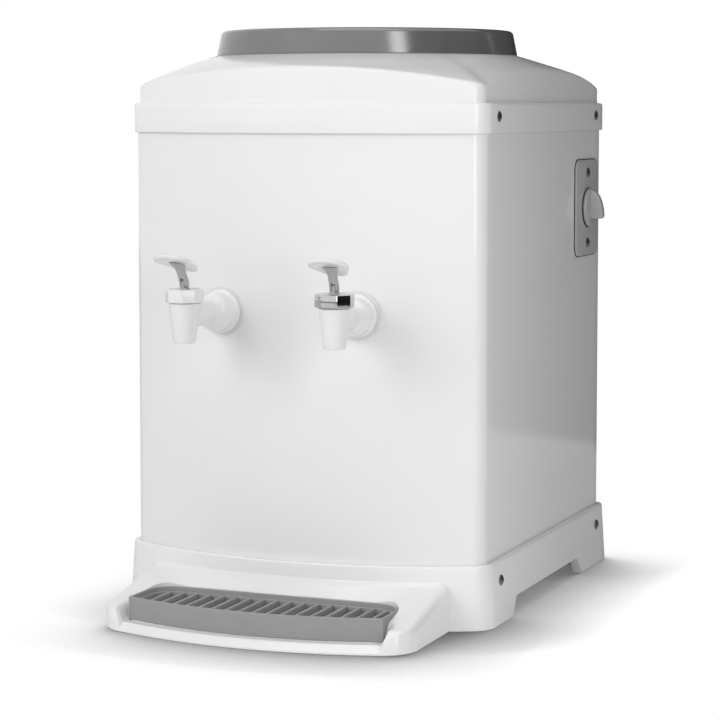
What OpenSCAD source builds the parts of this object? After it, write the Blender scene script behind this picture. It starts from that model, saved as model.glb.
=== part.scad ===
// Countertop water cooler: moulded base and cover on a sheet cabinet, two lever taps, cooled tank inside.
// Millimetres, +Z up, front towards -Y.

/* [Cabinet] */
// Width of the cabinet across its flat sides
body_w = 300; // [270:1:340]
// Depth of the cabinet from its back to the middle of the bowed front
body_d = 352; // [335:1:400]
// Radius of the bowed front
front_r = 320; // [280:5:500]
// Radius of the front corners
corner_r = 14; // [10:1:22]
// Radius of the rear corners
rear_r = 6; // [5:0.5:10]
// Thickness of the cabinet sheet
sheet_t = 1; // [0.8:0.1:1.6]
// Width of the flanges at the back of the cabinet sheet
flange_w = 18; // [14:1:26]

/* [Base] */
// Height of the moulded base
base_h = 50; // [44:1:64]
// Overhang of the base at the floor
base_foot_out = 8; // [6:0.5:12]
// Overhang of the base at its rim
base_rim_out = 5; // [4:0.5:6]
// Height of the deck's underside above the floor
deck_z = 17; // [16.5:0.5:22]
// Thickness of the deck
deck_t = 3; // [2:0.5:4]
// Wall of the skirt below the deck
skirt_t = 5; // [3:0.5:5.5]
// Side of the square feet under the corners
foot_side = 44; // [30:1:50]
// Height of the arch between the feet
arch_h = 15.5; // [10:0.5:16]
// Place of the front end of the arch at the floor
arch_front_y = -89; // [-100:1:-60]
// Place of the rear end of the arch at the floor
arch_rear_y = 101; // [80:1:110]
// Slant of the arch's ends
arch_slant = 12; // [4:1:18]

/* [Drip shelf] */
// Width of the drip shelf
shelf_w = 263; // [258:1:275]
// Place of the shelf's front edge in the middle
shelf_front_y = -270; // [-285:1:-266]
// Radius of the shelf's front edge
shelf_r = 335; // [300:5:450]
// Height of the shelf's arms where they leave the base
arm_back_z = 36; // [33:0.5:42]
// Height of the shelf's arms at their front end
arm_front_z = 18.5; // [16:0.5:24]
// Rounding at the front end of the arms
arm_nose_r = 8; // [4:0.5:10]
// Height of the shelf's floor and lip
lip_z = 11; // [9:0.5:13]
// Width of the slope on the lip
lip_slope = 9; // [5:0.5:10]
// Height of the upright edge under the lip's slope
lip_edge = 2; // [1:0.5:4]
// Width of the mouth between the arms
mouth_w = 204; // [190:1:208]

/* [Drip tray] */
// Width of the drip tray
tray_w = 212; // [208:1:222]
// Place of the tray's back edge
tray_back_y = -190; // [-194:1:-189]
// Place of the tray's front edge in the middle
tray_front_y = -258; // [-259:1:-250]
// Radius of the tray's front edge
tray_r = 315; // [290:5:420]
// Radius of the tray's back corners
tray_corner_r = 22; // [12:1:26]
// Height of the tray's rim above the floor
tray_top_z = 25.5; // [24:0.5:30]
// Wall of the tray
tray_t = 2.2; // [1.5:0.1:3]
// Depth of the slats below the tray's rim
slat_drop = 3.5; // [2:0.5:4.5]
// Height of the slats
slat_h = 5; // [3:0.5:5.5]
// Number of slats
slat_n = 17; // [9:1:21]
// Thickness of a slat
slat_t = 2.6; // [1.6:0.1:4]

/* [Top cover] */
// Height of the band's lower edge above the floor
band_z = 384; // [370:1:400]
// Height of the band
band_h = 23.5; // [20:0.5:32]
// Overhang of the band
band_out = 2.8; // [2:0.1:3.6]
// Inset of the dome's wall behind the cabinet's face
dome_in = 2; // [1:0.1:2.8]
// Radius of the dome
dome_r = 600; // [450:10:900]
// Wall of the cover
cover_t = 3; // [2.5:0.1:4]

/* [Bottle seat] */
// Height of the collar's seat on the dome
seat_z = 446.6; // [443:0.1:456]
// Place of the collar's axis
collar_y = -7; // [-12:1:2]
// Outer radius of the collar at its foot
collar_r = 125.5; // [118:0.5:130]
// Outer radius of the collar at its top
collar_top_r = 121.5; // [112:0.5:124]
// Height of the collar above its seat
collar_h = 20.4; // [15:0.1:26]
// Rounding of the collar's top edge
collar_edge_r = 5; // [2:0.5:5]
// Radius of the collar's spigot in the dome
spigot_r = 113.5; // [110:0.5:116]
// Radius of the bottle's neck socket
neck_r = 29; // [27.5:0.5:31]
// Length of the bottle's neck socket
neck_l = 32; // [24:1:40]
// Height of the socket's mouth
neck_top_z = 420; // [416:1:424]

/* [Taps] */
// Distance between the taps at the wall
tap_gap = 114; // [100:1:130]
// Height of the taps' shanks above the floor
tap_z = 244; // [240:1:250]
// Outward turn of each tap
tap_turn = 5.3; // [0:0.1:8]
// Distance from the wall to the spout's axis
tap_reach = 57; // [52:1:64]
// Radius of the spout at its outlet
spout_r = 8.2; // [7.5:0.1:9]
// Radius of the barrel under the ring nut
barrel_r = 12.4; // [12:0.1:13.4]
// Distance from the shank's axis down to the outlet
spout_drop = 21.5; // [17:0.5:30]
// Radius of the ring nut
ring_r = 15; // [14.2:0.1:17]
// Height of the ring nut
ring_h = 12.5; // [10:0.5:15]
// Distance from the shank's axis up to the ring nut
ring_z = 9; // [8:0.5:10]
// Radius of the bell at the wall
bell_r = 18.5; // [16:0.5:22]
// Radius of the neck behind the barrel
tap_neck_r = 8.6; // [7.5:0.1:10]
// Radius of the shank
shank_r = 8; // [7:0.5:9]
// Length of the shank behind the wall
shank_l = 26; // [22:1:34]
// Bore of the shank
water_r = 5; // [3.5:0.5:5.5]
// Length of the paddle
paddle_l = 42; // [34:1:50]
// Width of the paddle
paddle_w = 31; // [24:1:36]
// Thickness of the paddle
paddle_t = 3.6; // [3:0.1:5]
// Radius of the paddle's curve
paddle_r = 38; // [34:1:60]
// Height of the paddle's crown above the ring nut
paddle_rise = 28; // [26:0.5:34]
// Distance of the crown in front of the spout's axis
paddle_ahead = 18; // [14:1:20]
// Width of the lever's stem
stem_w = 12.4; // [11.6:0.1:14]
// Radius of the lever's pin
pin_r = 1.5; // [1.2:0.1:1.8]
// Distance of the cam foot in front of the pin
cam_e = 8; // [6:0.5:9]
// Radius of the cam foot
cam_r = 4; // [3.6:0.1:5]

/* [Thermostat] */
// Place of the knob along the side
knob_y = 130; // [115:1:138]
// Height of the knob above the floor
knob_z = 317; // [300:1:335]
// Radius of the knob's disc
knob_r = 16.5; // [14:0.5:20]
// Thickness of the knob's disc
knob_t = 4; // [3:0.5:6]
// Height of the knob's grip above the disc
grip_h = 10.5; // [6:0.5:14]
// Width of the knob's grip
grip_w = 8; // [7.4:0.1:12]
// Width of the plate behind the knob
plate_w = 66; // [50:1:74]
// Height of the plate behind the knob
plate_h = 83; // [76:1:96]
// Thickness of the plate
plate_t = 2; // [1:0.1:3]
// Corner radius of the plate
plate_r = 9; // [4:1:14]
// Distance between the plate's screws
plate_gap = 61; // [56:1:66]
// Radius of the thermostat's spindle
spindle_r = 3; // [2.5:0.1:3.2]

/* [Tank] */
// Outer radius of the tank
tank_r = 82; // [76:1:84]
// Wall of the tank
tank_t = 1.6; // [1:0.1:2.4]
// Height of the tank's bottom above the floor
tank_z = 226; // [224:1:230]
// Outer radius of the insulation
foam_r = 118; // [112:1:124]
// Thickness of the insulation under the tank
foam_floor = 18; // [12:1:20]
// Radius of the evaporator tube
coil_tube_r = 4; // [3:0.5:4.5]
// Turns of the evaporator tube
coil_turns = 6; // [4:1:8]
// Pitch of the evaporator tube
coil_pitch = 14; // [11:0.5:16]

/* [Refrigeration] */
// Radius of the compressor's can
can_r = 68; // [60:1:72]
// Height of the compressor's can
can_h = 140; // [120:1:150]
// Place of the compressor's axis
can_y = 40; // [36:1:44]
// Distance between the compressor's bolts
bolt_gap = 170; // [160:2:190]
// Radius of the condenser's tube
cond_r = 3; // [2.5:0.5:4]
// Runs of the condenser's tube
cond_runs = 12; // [6:1:12]
// Pitch of the condenser's runs
cond_pitch = 24; // [18:1:25]
// Radius of the pipes
pipe_r = 3; // [2.5:0.5:3.5]
// Radius of the filter drier
drier_r = 8; // [7:0.5:10]

/* [Fasteners] */
// Radius of a screw's head
head_r = 4.2; // [3.6:0.1:4.8]
// Height of a screw's head
head_h = 2; // [1.6:0.1:2]
// Radius of a screw's shank
screw_r = 1.8; // [1.4:0.1:2.2]
// Length of a screw's shank
screw_l = 9; // [8:0.5:12]
// Place of the front side screws
screw_front_y = -114; // [-122:1:-100]
// Place of the rear side screws
screw_rear_y = 150; // [140:1:158]
// Height of the cover's side screws
cover_screw_z = 397; // [393:0.5:399]
// Height of the base's side screws
base_screw_z = 34.5; // [32:0.5:38]

/* [Hidden] */
$fn = 96;
eps = 0.01;
// Gap between pieces that are pushed together by hand
clear = 0.3;
// Radial gap of a running fit
run = 0.05;
// Overlap that a cut has past the face it goes through
past = 2;
// Least radius of a rear corner on the inner outlines
least_r = 0.5;

half_w = body_w / 2;
back_y = body_d / 2;
bow_y = -back_y + front_r;
corner_x = half_w - corner_r;
corner_y = bow_y - sqrt(pow(front_r - corner_r, 2) - pow(corner_x, 2));
rear_x = half_w - rear_r;
rear_y = back_y - rear_r;
deck_top = deck_z + deck_t;
ramp_half = tray_w / 2 - tray_corner_r / 2;

// The origin is under the middle of the whole part: the knob reaches out to one side, the shelf to the front
knob_x = half_w + plate_t + clear;
knob_out = knob_x + knob_t + grip_h;
left_out = half_w + max(base_foot_out, base_out(base_screw_z - head_r) + head_h);
mid_x = (knob_out - left_out) / 2;
mid_y = (back_y + base_foot_out + shelf_front_y) / 2;

// Top cover
band_top = band_z + band_h;
rim_z = band_top - cover_t;
dome_z = seat_z - sqrt(pow(dome_r, 2) - pow(collar_r, 2));
hole_r = spigot_r + clear;
boss_h = 8;
boss_out = 2;
band_round = 2;

// Collar and funnel
lip_w = 9;
lip_r = spigot_r - lip_w;
spigot_l = 10;
spigot_t = 3.5;
funnel_t = 2.5;
funnel_top = seat_z - eps;
flange_t = 2;

// Tank
flange_out = 18;
flange_r = tank_r + flange_out;
gasket_t = 2;
foam_in = tank_r + 2 * coil_tube_r + 3 * clear;
foam_z = tank_z - foam_floor - clear;
foam_above_neck = 6;
foam_top = neck_top_z + foam_above_neck;
tank_top = foam_top + flange_t;
coil_r = tank_r + coil_tube_r + clear;
coil_above_tap = 20;
coil_z = tap_z + coil_above_tap;
coil_top = coil_z + coil_turns * coil_pitch;
tail_x = 30;
tail_l = 8;
tail_y = collar_y + foam_r + tail_l;

// Taps
wall_x = tap_gap / 2;
wall_y = bow_y - sqrt(pow(front_r, 2) - pow(wall_x, 2));
spout_y = wall_y - tap_reach * cos(tap_turn);
spout_x = wall_x + tap_reach * sin(tap_turn);
ring_top = ring_z + ring_h;
ring_t = 3;
chamber_r = 9.6;
outlet_r = spout_r - 2;
valve_z = -4;
rod_r = 4;
tongue_w = 6;
pin_z = ring_top + cam_r + clear;
paddle_behind = 12;
fork_gap = tongue_w + 2 * clear;
gasket_rim = 1.8;
gasket_out = 0.8;
nut_r = shank_r + 6;
nut_h = 10;
nipple_l = 14;
nipple_t = 1.5;
hose_t = 2;
hose_gap = 8;
thread_r = barrel_r - 0.8;
plunger_flange_z = 5;
// Distance from a tap's spout to the tank's wall along the shank
spout_from = [spout_x, spout_y - collar_y];
spout_along = spout_from * [sin(tap_turn), -cos(tap_turn)];
tank_reach = spout_along - sqrt(pow(spout_along, 2) - spout_from * spout_from + pow(tank_r, 2));

// Refrigeration
frame_w = 2 * (foam_r - 6);
frame_t = 1.5;
frame_l = 200;
frame_back_y = frame_l / 2;
frame_z = foam_z - frame_t;
grommet_h = 8;
grommet_r = 9;
can_foot_t = 3;
rail_t = 4;
can_z = deck_top + grommet_h + can_foot_t;
cond_gap = 14;
cond_y = back_y - cond_gap;
bend_r = 2 * pipe_r;
pipe_step = bend_r + pipe_r;
cond_w = 200;
cond_z = 78;
cond_top = cond_z + (cond_runs - 1) * cond_pitch;

// Cabinet fittings
vent_rows = 13;
vent_cols = 3;
vent_w = 62;
vent_h = 5;
vent_pitch_x = 78;
vent_pitch_z = 17;
vent_z = 118;
panel_t = 1;
panel_w = body_w - 2 * rear_r - 4;
rear_screw_in = 20;
gland_in = 54;
gland_x = half_w - gland_in;
gland_z = 76;
gland_r = 8;
cord_r = 3.8;
thermo_d = 36;
thermo_w = 40;
thermo_h = 30;
spindle_gap = 1;

// Shared outlines

// Sector in front of the bow's centre, between the two corner centres
module bow_sector() {
    reach = 2 * front_r / (front_r - corner_r);
    polygon([
        [0, bow_y],
        [-reach * corner_x, bow_y + reach * (corner_y - bow_y)],
        [reach * corner_x, bow_y + reach * (corner_y - bow_y)]
    ]);
}

// Sector of a front corner, from the bow's end to the flat side
module corner_sector(side) {
    reach = 4 * corner_r;
    way = [corner_x, corner_y - bow_y] / (front_r - corner_r);
    translate([side * corner_x, corner_y])
        polygon([[0, 0], reach * [side * way[0], way[1]], [side * reach, 0]]);
}

// Outline of the cabinet seen from above, grown by a given amount
module plan(grow = 0) {
    r = max(rear_r + grow, least_r);
    x = half_w + grow - r;
    y = back_y + grow - r;
    intersection() {
        translate([0, bow_y]) circle(r = front_r + grow, $fn = 360);
        bow_sector();
    }
    translate([-half_w - grow, corner_y]) square([body_w + 2 * grow, y - corner_y]);
    translate([-x, corner_y]) square([2 * x, back_y + grow - corner_y]);
    for (side = [-1, 1]) {
        translate([side * corner_x, corner_y]) circle(r = corner_r + grow);
        translate([side * x, y]) circle(r = r);
    }
}

// Upright solid on the cabinet's outline
module plan_solid(low, high, grow = 0) {
    translate([0, 0, low]) linear_extrude(high - low) plan(grow);
}

// Solid on the cabinet's outline whose walls lean from one overhang to another
module leaning_solid(low, high, grow_low, grow_high) {
    h = high - low;
    translate([0, 0, low]) {
        intersection() {
            translate([0, bow_y])
                cylinder(h = h, r1 = front_r + grow_low, r2 = front_r + grow_high, $fn = 360);
            linear_extrude(h) bow_sector();
        }
        translate([0, rear_y]) rotate([90, 0, 0]) linear_extrude(rear_y - corner_y) polygon([
            [-half_w - grow_low, 0],
            [half_w + grow_low, 0],
            [half_w + grow_high, h],
            [-half_w - grow_high, h]
        ]);
        translate([-rear_x, 0]) rotate([90, 0, 90]) linear_extrude(2 * rear_x) polygon([
            [corner_y, 0],
            [back_y + grow_low, 0],
            [back_y + grow_high, h],
            [corner_y, h]
        ]);
        for (side = [-1, 1]) {
            intersection() {
                translate([side * corner_x, corner_y])
                    cylinder(h = h, r1 = corner_r + grow_low, r2 = corner_r + grow_high);
                linear_extrude(h) corner_sector(side);
            }
            translate([side * rear_x, rear_y])
                cylinder(h = h, r1 = rear_r + grow_low, r2 = rear_r + grow_high);
        }
    }
}

// Rectangle with round corners, centred
module round_rect(w, h, r) {
    square([w - 2 * r, h], center = true);
    square([w, h - 2 * r], center = true);
    for (x = [-1, 1], y = [-1, 1]) translate([x * (w / 2 - r), y * (h / 2 - r)]) circle(r = r);
}

// Straight round bar between two points
module bar(from, to, r) {
    d = to - from;
    turn = atan2(d[1], d[0]);
    lean = acos(d[2] / norm(d));
    translate(from) rotate([0, lean, turn]) cylinder(h = norm(d), r = r);
}

// Direction of a pipe's stretch after point i, and how far a bend at point i cuts into its stretches
function way(points, i) = (points[i + 1] - points[i]) / norm(points[i + 1] - points[i]);
function bend_cut(points, i) = i == 0 || i == len(points) - 1
    ? 0
    : bend_r * tan(acos(way(points, i - 1) * way(points, i)) / 2);

// Round bend at a corner, from the direction u to the direction v
module elbow(corner, u, v, r) {
    turn = acos(u * v);
    across = v - (u * v) * u;
    n = across / norm(across);
    axis = cross(u, n);
    centre = corner - bend_r * tan(turn / 2) * u + bend_r * n;
    multmatrix([for (k = [0 : 2]) [-n[k], u[k], axis[k], centre[k]]])
        rotate_extrude(angle = turn) translate([bend_r, 0]) circle(r = r);
}

// Round pipe through a list of points, with an elbow in each bend
module pipe(points, r) {
    last = len(points) - 1;
    for (i = [0 : last - 1]) {
        along = way(points, i);
        bar(points[i] + bend_cut(points, i) * along, points[i + 1] - bend_cut(points, i + 1) * along, r);
    }
    for (i = [1 : 1 : last - 1]) elbow(points[i], way(points, i - 1), way(points, i), r);
}

// Cross-head screw whose head sits on the plane z = 0 and whose shank goes down
module screw() {
    cross_l = head_r * 1.1;
    cross_w = head_r * 0.24;
    cross_z = head_h * 0.35;
    crown_r = head_r * 1.6;
    difference() {
        union() {
            translate([0, 0, -screw_l]) cylinder(h = screw_l + eps, r = screw_r);
            rotate_extrude() intersection() {
                square([head_r, head_h]);
                translate([0, head_h - crown_r]) circle(r = crown_r);
            }
        }
        for (turn = [0, 90]) rotate([0, 0, turn])
            translate([-cross_l / 2, -cross_w / 2, cross_z]) cube([cross_l, cross_w, head_h]);
    }
}

// Places its children as screws on both flat sides at two places along them
module side_screws(z, out) {
    for (side = [-1, 1], y = [screw_front_y, screw_rear_y])
        translate([side * (half_w + out), y, z]) rotate([0, side * 90, 0]) children();
}

// Holes for the screws on the flat sides
module side_holes(z) {
    for (y = [screw_front_y, screw_rear_y])
        translate([-body_w, y, z]) rotate([0, 90, 0]) cylinder(h = 2 * body_w, r = screw_r + run);
}

// Overhang of the base at a given height
function base_out(z) = base_foot_out + (base_rim_out - base_foot_out) * z / base_h;

// Helix tube as one mesh: ring points along the path, closed at both ends
function ring_points(centre, along, r, sides) = let (
    u = along / norm(along),
    side = cross(u, [0, 0, 1]),
    a = side / norm(side),
    b = cross(a, u)
) [for (k = [0 : sides - 1]) centre + r * (cos(360 * k / sides) * a + sin(360 * k / sides) * b)];

function tube_faces(rings, sides) = concat(
    [for (i = [0 : rings - 2], k = [0 : sides - 1]) [
        i * sides + k, i * sides + (k + 1) % sides, (i + 1) * sides + k
    ]],
    [for (i = [0 : rings - 2], k = [0 : sides - 1]) [
        i * sides + (k + 1) % sides, (i + 1) * sides + (k + 1) % sides, (i + 1) * sides + k
    ]],
    [for (k = [1 : sides - 2]) [0, k + 1, k]],
    [for (k = [1 : sides - 2]) let (e = (rings - 1) * sides) [e, e + k, e + k + 1]]
);

module tube(path, r, sides = 6) {
    last = len(path) - 1;
    ways = [for (i = [0 : last]) path[min(i + 1, last)] - path[max(i - 1, 0)]];
    polyhedron(
        points = [for (i = [0 : last]) each ring_points(path[i], ways[i], r, sides)],
        faces = tube_faces(last + 1, sides)
    );
}

// Base

module drip_shelf_plan(inset = 0) {
    intersection() {
        translate([0, shelf_front_y + shelf_r]) circle(r = shelf_r - inset);
        translate([-shelf_w / 2 + inset, shelf_front_y])
            square([shelf_w - 2 * inset, corner_y - shelf_front_y]);
    }
}

// Outline of the drip tray grown by a given amount
module tray_plan(grow = 0) {
    r = tray_corner_r;
    x = tray_w / 2 - r;
    y = tray_back_y - r;
    intersection() {
        translate([0, tray_front_y + tray_r]) circle(r = tray_r + grow);
        union() {
            translate([-tray_w / 2 - grow, tray_front_y - grow])
                square([tray_w + 2 * grow, y - tray_front_y + grow]);
            translate([-x, tray_front_y - grow]) square([2 * x, tray_back_y - tray_front_y + 2 * grow]);
            for (side = [-1, 1]) translate([side * x, y]) circle(r = r + grow);
        }
    }
}

// Arms of the shelf in side view, sloping to a round nose
module arm_profile() {
    front = shelf_front_y + shelf_r - sqrt(pow(shelf_r, 2) - pow(shelf_w / 2, 2));
    nose_y = front + arm_nose_r;
    nose_z = arm_front_z - arm_nose_r;
    polygon([
        [corner_y, 0], [corner_y, arm_back_z], [wall_y, arm_back_z], [nose_y, arm_front_z],
        [nose_y, nose_z], [front, nose_z], [front, 0]
    ]);
    translate([nose_y, nose_z]) circle(r = arm_nose_r);
}

// Slope round the bow from the base's wall down to the tray's back edge
module tray_ramp() {
    rise = arm_back_z - tray_top_z;
    low_r = bow_y - tray_back_y;
    run_in = low_r - front_r - base_out(arm_back_z);
    into_wall = 1.3;
    intersection() {
        translate([-ramp_half, tray_back_y, 0]) cube([2 * ramp_half, corner_y - tray_back_y, base_h]);
        translate([0, bow_y, 0]) {
            cylinder(h = tray_top_z + eps, r = low_r + shelf_r, $fn = 360);
            translate([0, 0, tray_top_z])
                cylinder(h = into_wall * rise, r1 = low_r, r2 = low_r - into_wall * run_in, $fn = 360);
        }
    }
}

module drip_shelf() {
    slope_z = lip_edge + lip_slope;
    // Floor with a sloping lip along the front
    intersection() {
        linear_extrude(lip_z) drip_shelf_plan();
        translate([0, shelf_front_y + shelf_r]) {
            cylinder(h = lip_edge + eps, r = shelf_r);
            translate([0, 0, lip_edge]) cylinder(h = lip_slope, r1 = shelf_r, r2 = shelf_r - lip_slope);
            translate([0, 0, slope_z - eps]) cylinder(h = past, r = shelf_r - lip_slope);
        }
    }
    // Arms at both sides and the ramp behind the tray
    difference() {
        union() {
            intersection() {
                linear_extrude(arm_back_z + past) drip_shelf_plan();
                for (x = [-shelf_w / 2, ramp_half]) translate([x, 0])
                    rotate([90, 0, 90]) linear_extrude(shelf_w / 2 - ramp_half) arm_profile();
            }
            tray_ramp();
        }
        translate([0, 0, lip_z - eps]) linear_extrude(arm_back_z) {
            tray_plan(clear);
            translate([-mouth_w / 2, shelf_front_y - past])
                square([mouth_w, tray_back_y - tray_corner_r - shelf_front_y]);
        }
    }
}

module base_feet() {
    cover_t = 1;
    into_skirt = base_out(deck_z) - cover_t;
    out = half_w + into_skirt;
    front = corner_y - corner_r - into_skirt;
    rear = back_y + into_skirt;
    intersection() {
        plan_solid(-past, base_h, into_skirt);
        for (side = [0, 1]) mirror([side, 0, 0]) {
            translate([out - foot_side, front, 0]) cube([foot_side - corner_r, foot_side, deck_z + eps]);
            translate([out - foot_side, rear - foot_side, 0]) cube([foot_side, foot_side, deck_z + eps]);
        }
    }
}

module arch_cut() {
    translate([-body_w, 0]) rotate([90, 0, 90]) linear_extrude(2 * body_w) polygon([
        [arch_front_y - arch_slant * past / arch_h, -past],
        [arch_front_y + arch_slant, arch_h],
        [arch_rear_y - arch_slant, arch_h],
        [arch_rear_y + arch_slant * past / arch_h, -past]
    ]);
}

module base_pan() {
    shelf_inset = 4;
    shelf_floor = 3;
    color("whitesmoke") difference() {
        union() {
            difference() {
                union() {
                    leaning_solid(0, base_h, base_foot_out, base_rim_out);
                    drip_shelf();
                }
                plan_solid(-past, deck_z, base_rim_out - skirt_t);
            }
            base_feet();
        }
        plan_solid(deck_top, base_h + past, clear);
        arch_cut();
        side_holes(base_screw_z);
        // Hollow under the shelf
        translate([0, 0, -past]) linear_extrude(lip_z - shelf_floor + past) difference() {
            drip_shelf_plan(shelf_inset + lip_slope);
            plan(base_foot_out + shelf_inset);
        }
        // Holes for the compressor's bolts
        for (x = [-1, 1], y = [-1, 1])
            translate([x * bolt_gap / 2, can_y + y * bolt_gap / 4, 0])
                cylinder(h = base_h, r = screw_r + run);
    }
}

// Cabinet

module tap_places() {
    for (side = [-1, 1]) tap_place(side) children();
}

module wrap_panel() {
    opening = body_w - 2 * rear_r - 2 * flange_w;
    color("white") difference() {
        plan_solid(deck_top, rim_z, 0);
        plan_solid(deck_top - past, rim_z + past, -sheet_t);
        translate([-opening / 2, rear_y - past, 0]) cube([opening, rear_r + 2 * past, seat_z]);
        tap_places() rotate([-90, 0, 0]) cylinder(h = tap_reach + shank_l, r = shank_r + run);
        translate([half_w - past, knob_y, knob_z]) rotate([0, 90, 0]) {
            cylinder(h = 2 * past, r = spindle_r + spindle_gap);
            for (side = [-1, 1]) translate([side * plate_gap / 2, 0])
                cylinder(h = 2 * past, r = screw_r + run);
        }
        side_holes(cover_screw_z);
        side_holes(base_screw_z);
        rear_screw_places() cylinder(h = 2 * screw_l, r = screw_r + run, center = true);
    }
}

// Places its children on the rear panel's screws, pointing out
module rear_screw_places() {
    x = half_w - rear_r - flange_w / 2;
    z = [base_h + rear_screw_in, (base_h + band_z) / 2, band_z - rear_screw_in];
    for (side = [-1, 1], k = z) translate([side * x, back_y + panel_t, k]) rotate([-90, 0, 0]) children();
}

module rear_panel() {
    low = base_h + 1;
    high = band_z - 1;
    color("white") difference() {
        translate([-panel_w / 2, back_y, low]) cube([panel_w, panel_t, high - low]);
        for (i = [0 : vent_cols - 1], j = [0 : vent_rows - 1])
            translate([(i - (vent_cols - 1) / 2) * vent_pitch_x, back_y - past, vent_z + j * vent_pitch_z])
                rotate([-90, 0, 0]) linear_extrude(panel_t + 2 * past)
                    round_rect(vent_w, vent_h, vent_h / 2 - eps);
        translate([gland_x, back_y - past, gland_z]) rotate([-90, 0, 0])
            cylinder(h = panel_t + 2 * past, r = gland_r + run);
        rear_screw_places() cylinder(h = 2 * screw_l, r = screw_r + run, center = true);
    }
}

module cord_gland() {
    rim = 3;
    color("dimgray") translate([gland_x, back_y, gland_z]) rotate([-90, 0, 0]) difference() {
        union() {
            translate([0, 0, panel_t]) cylinder(h = rim, r = gland_r + rim);
            translate([0, 0, -sheet_t]) cylinder(h = panel_t + sheet_t + eps, r = gland_r);
            translate([0, 0, -rim - sheet_t]) cylinder(h = rim, r = gland_r + 1);
        }
        translate([0, 0, -rim - sheet_t - past]) cylinder(h = 3 * rim + 2 * past, r = cord_r);
    }
}

module rear_screws() {
    color("silver") rear_screw_places() screw();
}

// Top cover

// Dome's sphere with a given inset
module dome_ball(inset = 0) {
    translate([0, collar_y, dome_z]) sphere(r = dome_r - inset, $fn = 200);
}

module top_cover() {
    color("whitesmoke") difference() {
        union() {
            plan_solid(band_z, band_top - band_round, band_out);
            leaning_solid(band_top - band_round, band_top, band_out, band_out - band_round);
            intersection() {
                plan_solid(band_top - past, seat_z + cover_t, -dome_in);
                dome_ball();
            }
        }
        plan_solid(band_z - past, rim_z, clear);
        difference() {
            intersection() {
                plan_solid(rim_z - past, seat_z, -dome_in - cover_t);
                dome_ball(cover_t);
            }
            translate([0, collar_y, seat_z - boss_h]) cylinder(h = 2 * boss_h, r = collar_r + boss_out);
        }
        translate([0, collar_y, 0]) cylinder(h = 2 * seat_z, r = hole_r);
        translate([0, collar_y, seat_z]) cylinder(h = collar_h, r = collar_r + clear);
        side_holes(cover_screw_z);
    }
}

module cover_screws() {
    color("silver") side_screws(cover_screw_z, band_out) screw();
}

module base_screws() {
    color("silver") side_screws(base_screw_z, base_out(base_screw_z - head_r)) screw();
}

// Bottle seat

module bottle_collar() {
    top = seat_z + collar_h;
    e = collar_edge_r;
    inner_r = collar_top_r - 2 * e;
    color("gray") translate([0, collar_y]) rotate_extrude($fn = 160) {
        polygon([
            [spigot_r, seat_z], [collar_r, seat_z], [collar_top_r, top - e], [collar_top_r - e, top - e],
            [collar_top_r - e, top], [inner_r, top - e], [lip_r, seat_z + flange_t], [lip_r, seat_z]
        ]);
        translate([spigot_r - spigot_t, seat_z - spigot_l]) square([spigot_t, spigot_l + eps]);
        translate([collar_top_r - e, top - e]) circle(r = e);
    }
}

module bottle_funnel() {
    r1 = neck_r + funnel_t;
    r2 = spigot_r - spigot_t - clear;
    step_r = lip_r - flange_t;
    foot_r = tank_r + 3;
    foot_t = 8;
    rise = (funnel_top - funnel_t - neck_top_z) / (step_r - r1);
    foot_top = neck_top_z + (foot_r - r1) * rise;
    color("white") translate([0, collar_y]) rotate_extrude($fn = 160) {
        polygon([
            [neck_r, neck_top_z - neck_l], [r1, neck_top_z - neck_l], [r1, neck_top_z - funnel_t],
            [step_r, funnel_top - 2 * funnel_t], [r2, funnel_top - 2 * funnel_t], [r2, funnel_top],
            [step_r, funnel_top], [step_r, funnel_top - funnel_t], [r1, neck_top_z],
            [neck_r, neck_top_z]
        ]);
        translate([foot_r, tank_top + gasket_t]) square([foot_t, foot_top - tank_top - gasket_t]);
    }
}

// Tank

module tank_profile(r, t) {
    translate([0, tank_z]) square([r, t]);
    translate([r - t, tank_z]) square([t, tank_top - tank_z]);
    translate([r - t, tank_top - flange_t]) square([flange_r - r + t, flange_t]);
}

// Straight line from a tap's shank inward, as a bar of radius r between two distances from the spout's axis
module tap_line(side, from, to, r) {
    tap_place(side) translate([0, from]) rotate([-90, 0, 0]) cylinder(h = to - from, r = r);
}

module water_tank() {
    color("gainsboro") difference() {
        union() {
            translate([0, collar_y]) rotate_extrude() tank_profile(tank_r, tank_t);
            for (side = [-1, 1]) difference() {
                tap_line(side, tank_reach - nipple_l, tank_reach + tank_r / 4, water_r);
                translate([0, collar_y, tank_z]) cylinder(h = tank_r, r = tank_r - tank_t);
            }
        }
        for (side = [-1, 1])
            tap_line(side, tank_reach - 2 * nipple_l, tank_reach + tank_r / 2, water_r - nipple_t);
    }
}

module tank_gasket() {
    color("lightgray") translate([0, collar_y, tank_top]) difference() {
        cylinder(h = gasket_t, r = flange_r - gasket_t);
        translate([0, 0, -past]) cylinder(h = gasket_t + 2 * past, r = tank_r);
    }
}

module baffle_plate() {
    r = tank_r - tank_t - clear;
    plate = 2;
    rim_h = 14;
    hole_n = 8;
    flow_r = 4;
    flow_at = 0.7 * r;
    z = coil_top - rim_h;
    color("aliceblue") translate([0, collar_y, z]) difference() {
        cylinder(h = rim_h, r = r);
        translate([0, 0, plate]) cylinder(h = rim_h, r = r - plate);
        for (k = [0 : hole_n - 1]) rotate([0, 0, k * 360 / hole_n])
            translate([flow_at, 0, -past]) cylinder(h = rim_h, r = flow_r);
    }
}

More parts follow.
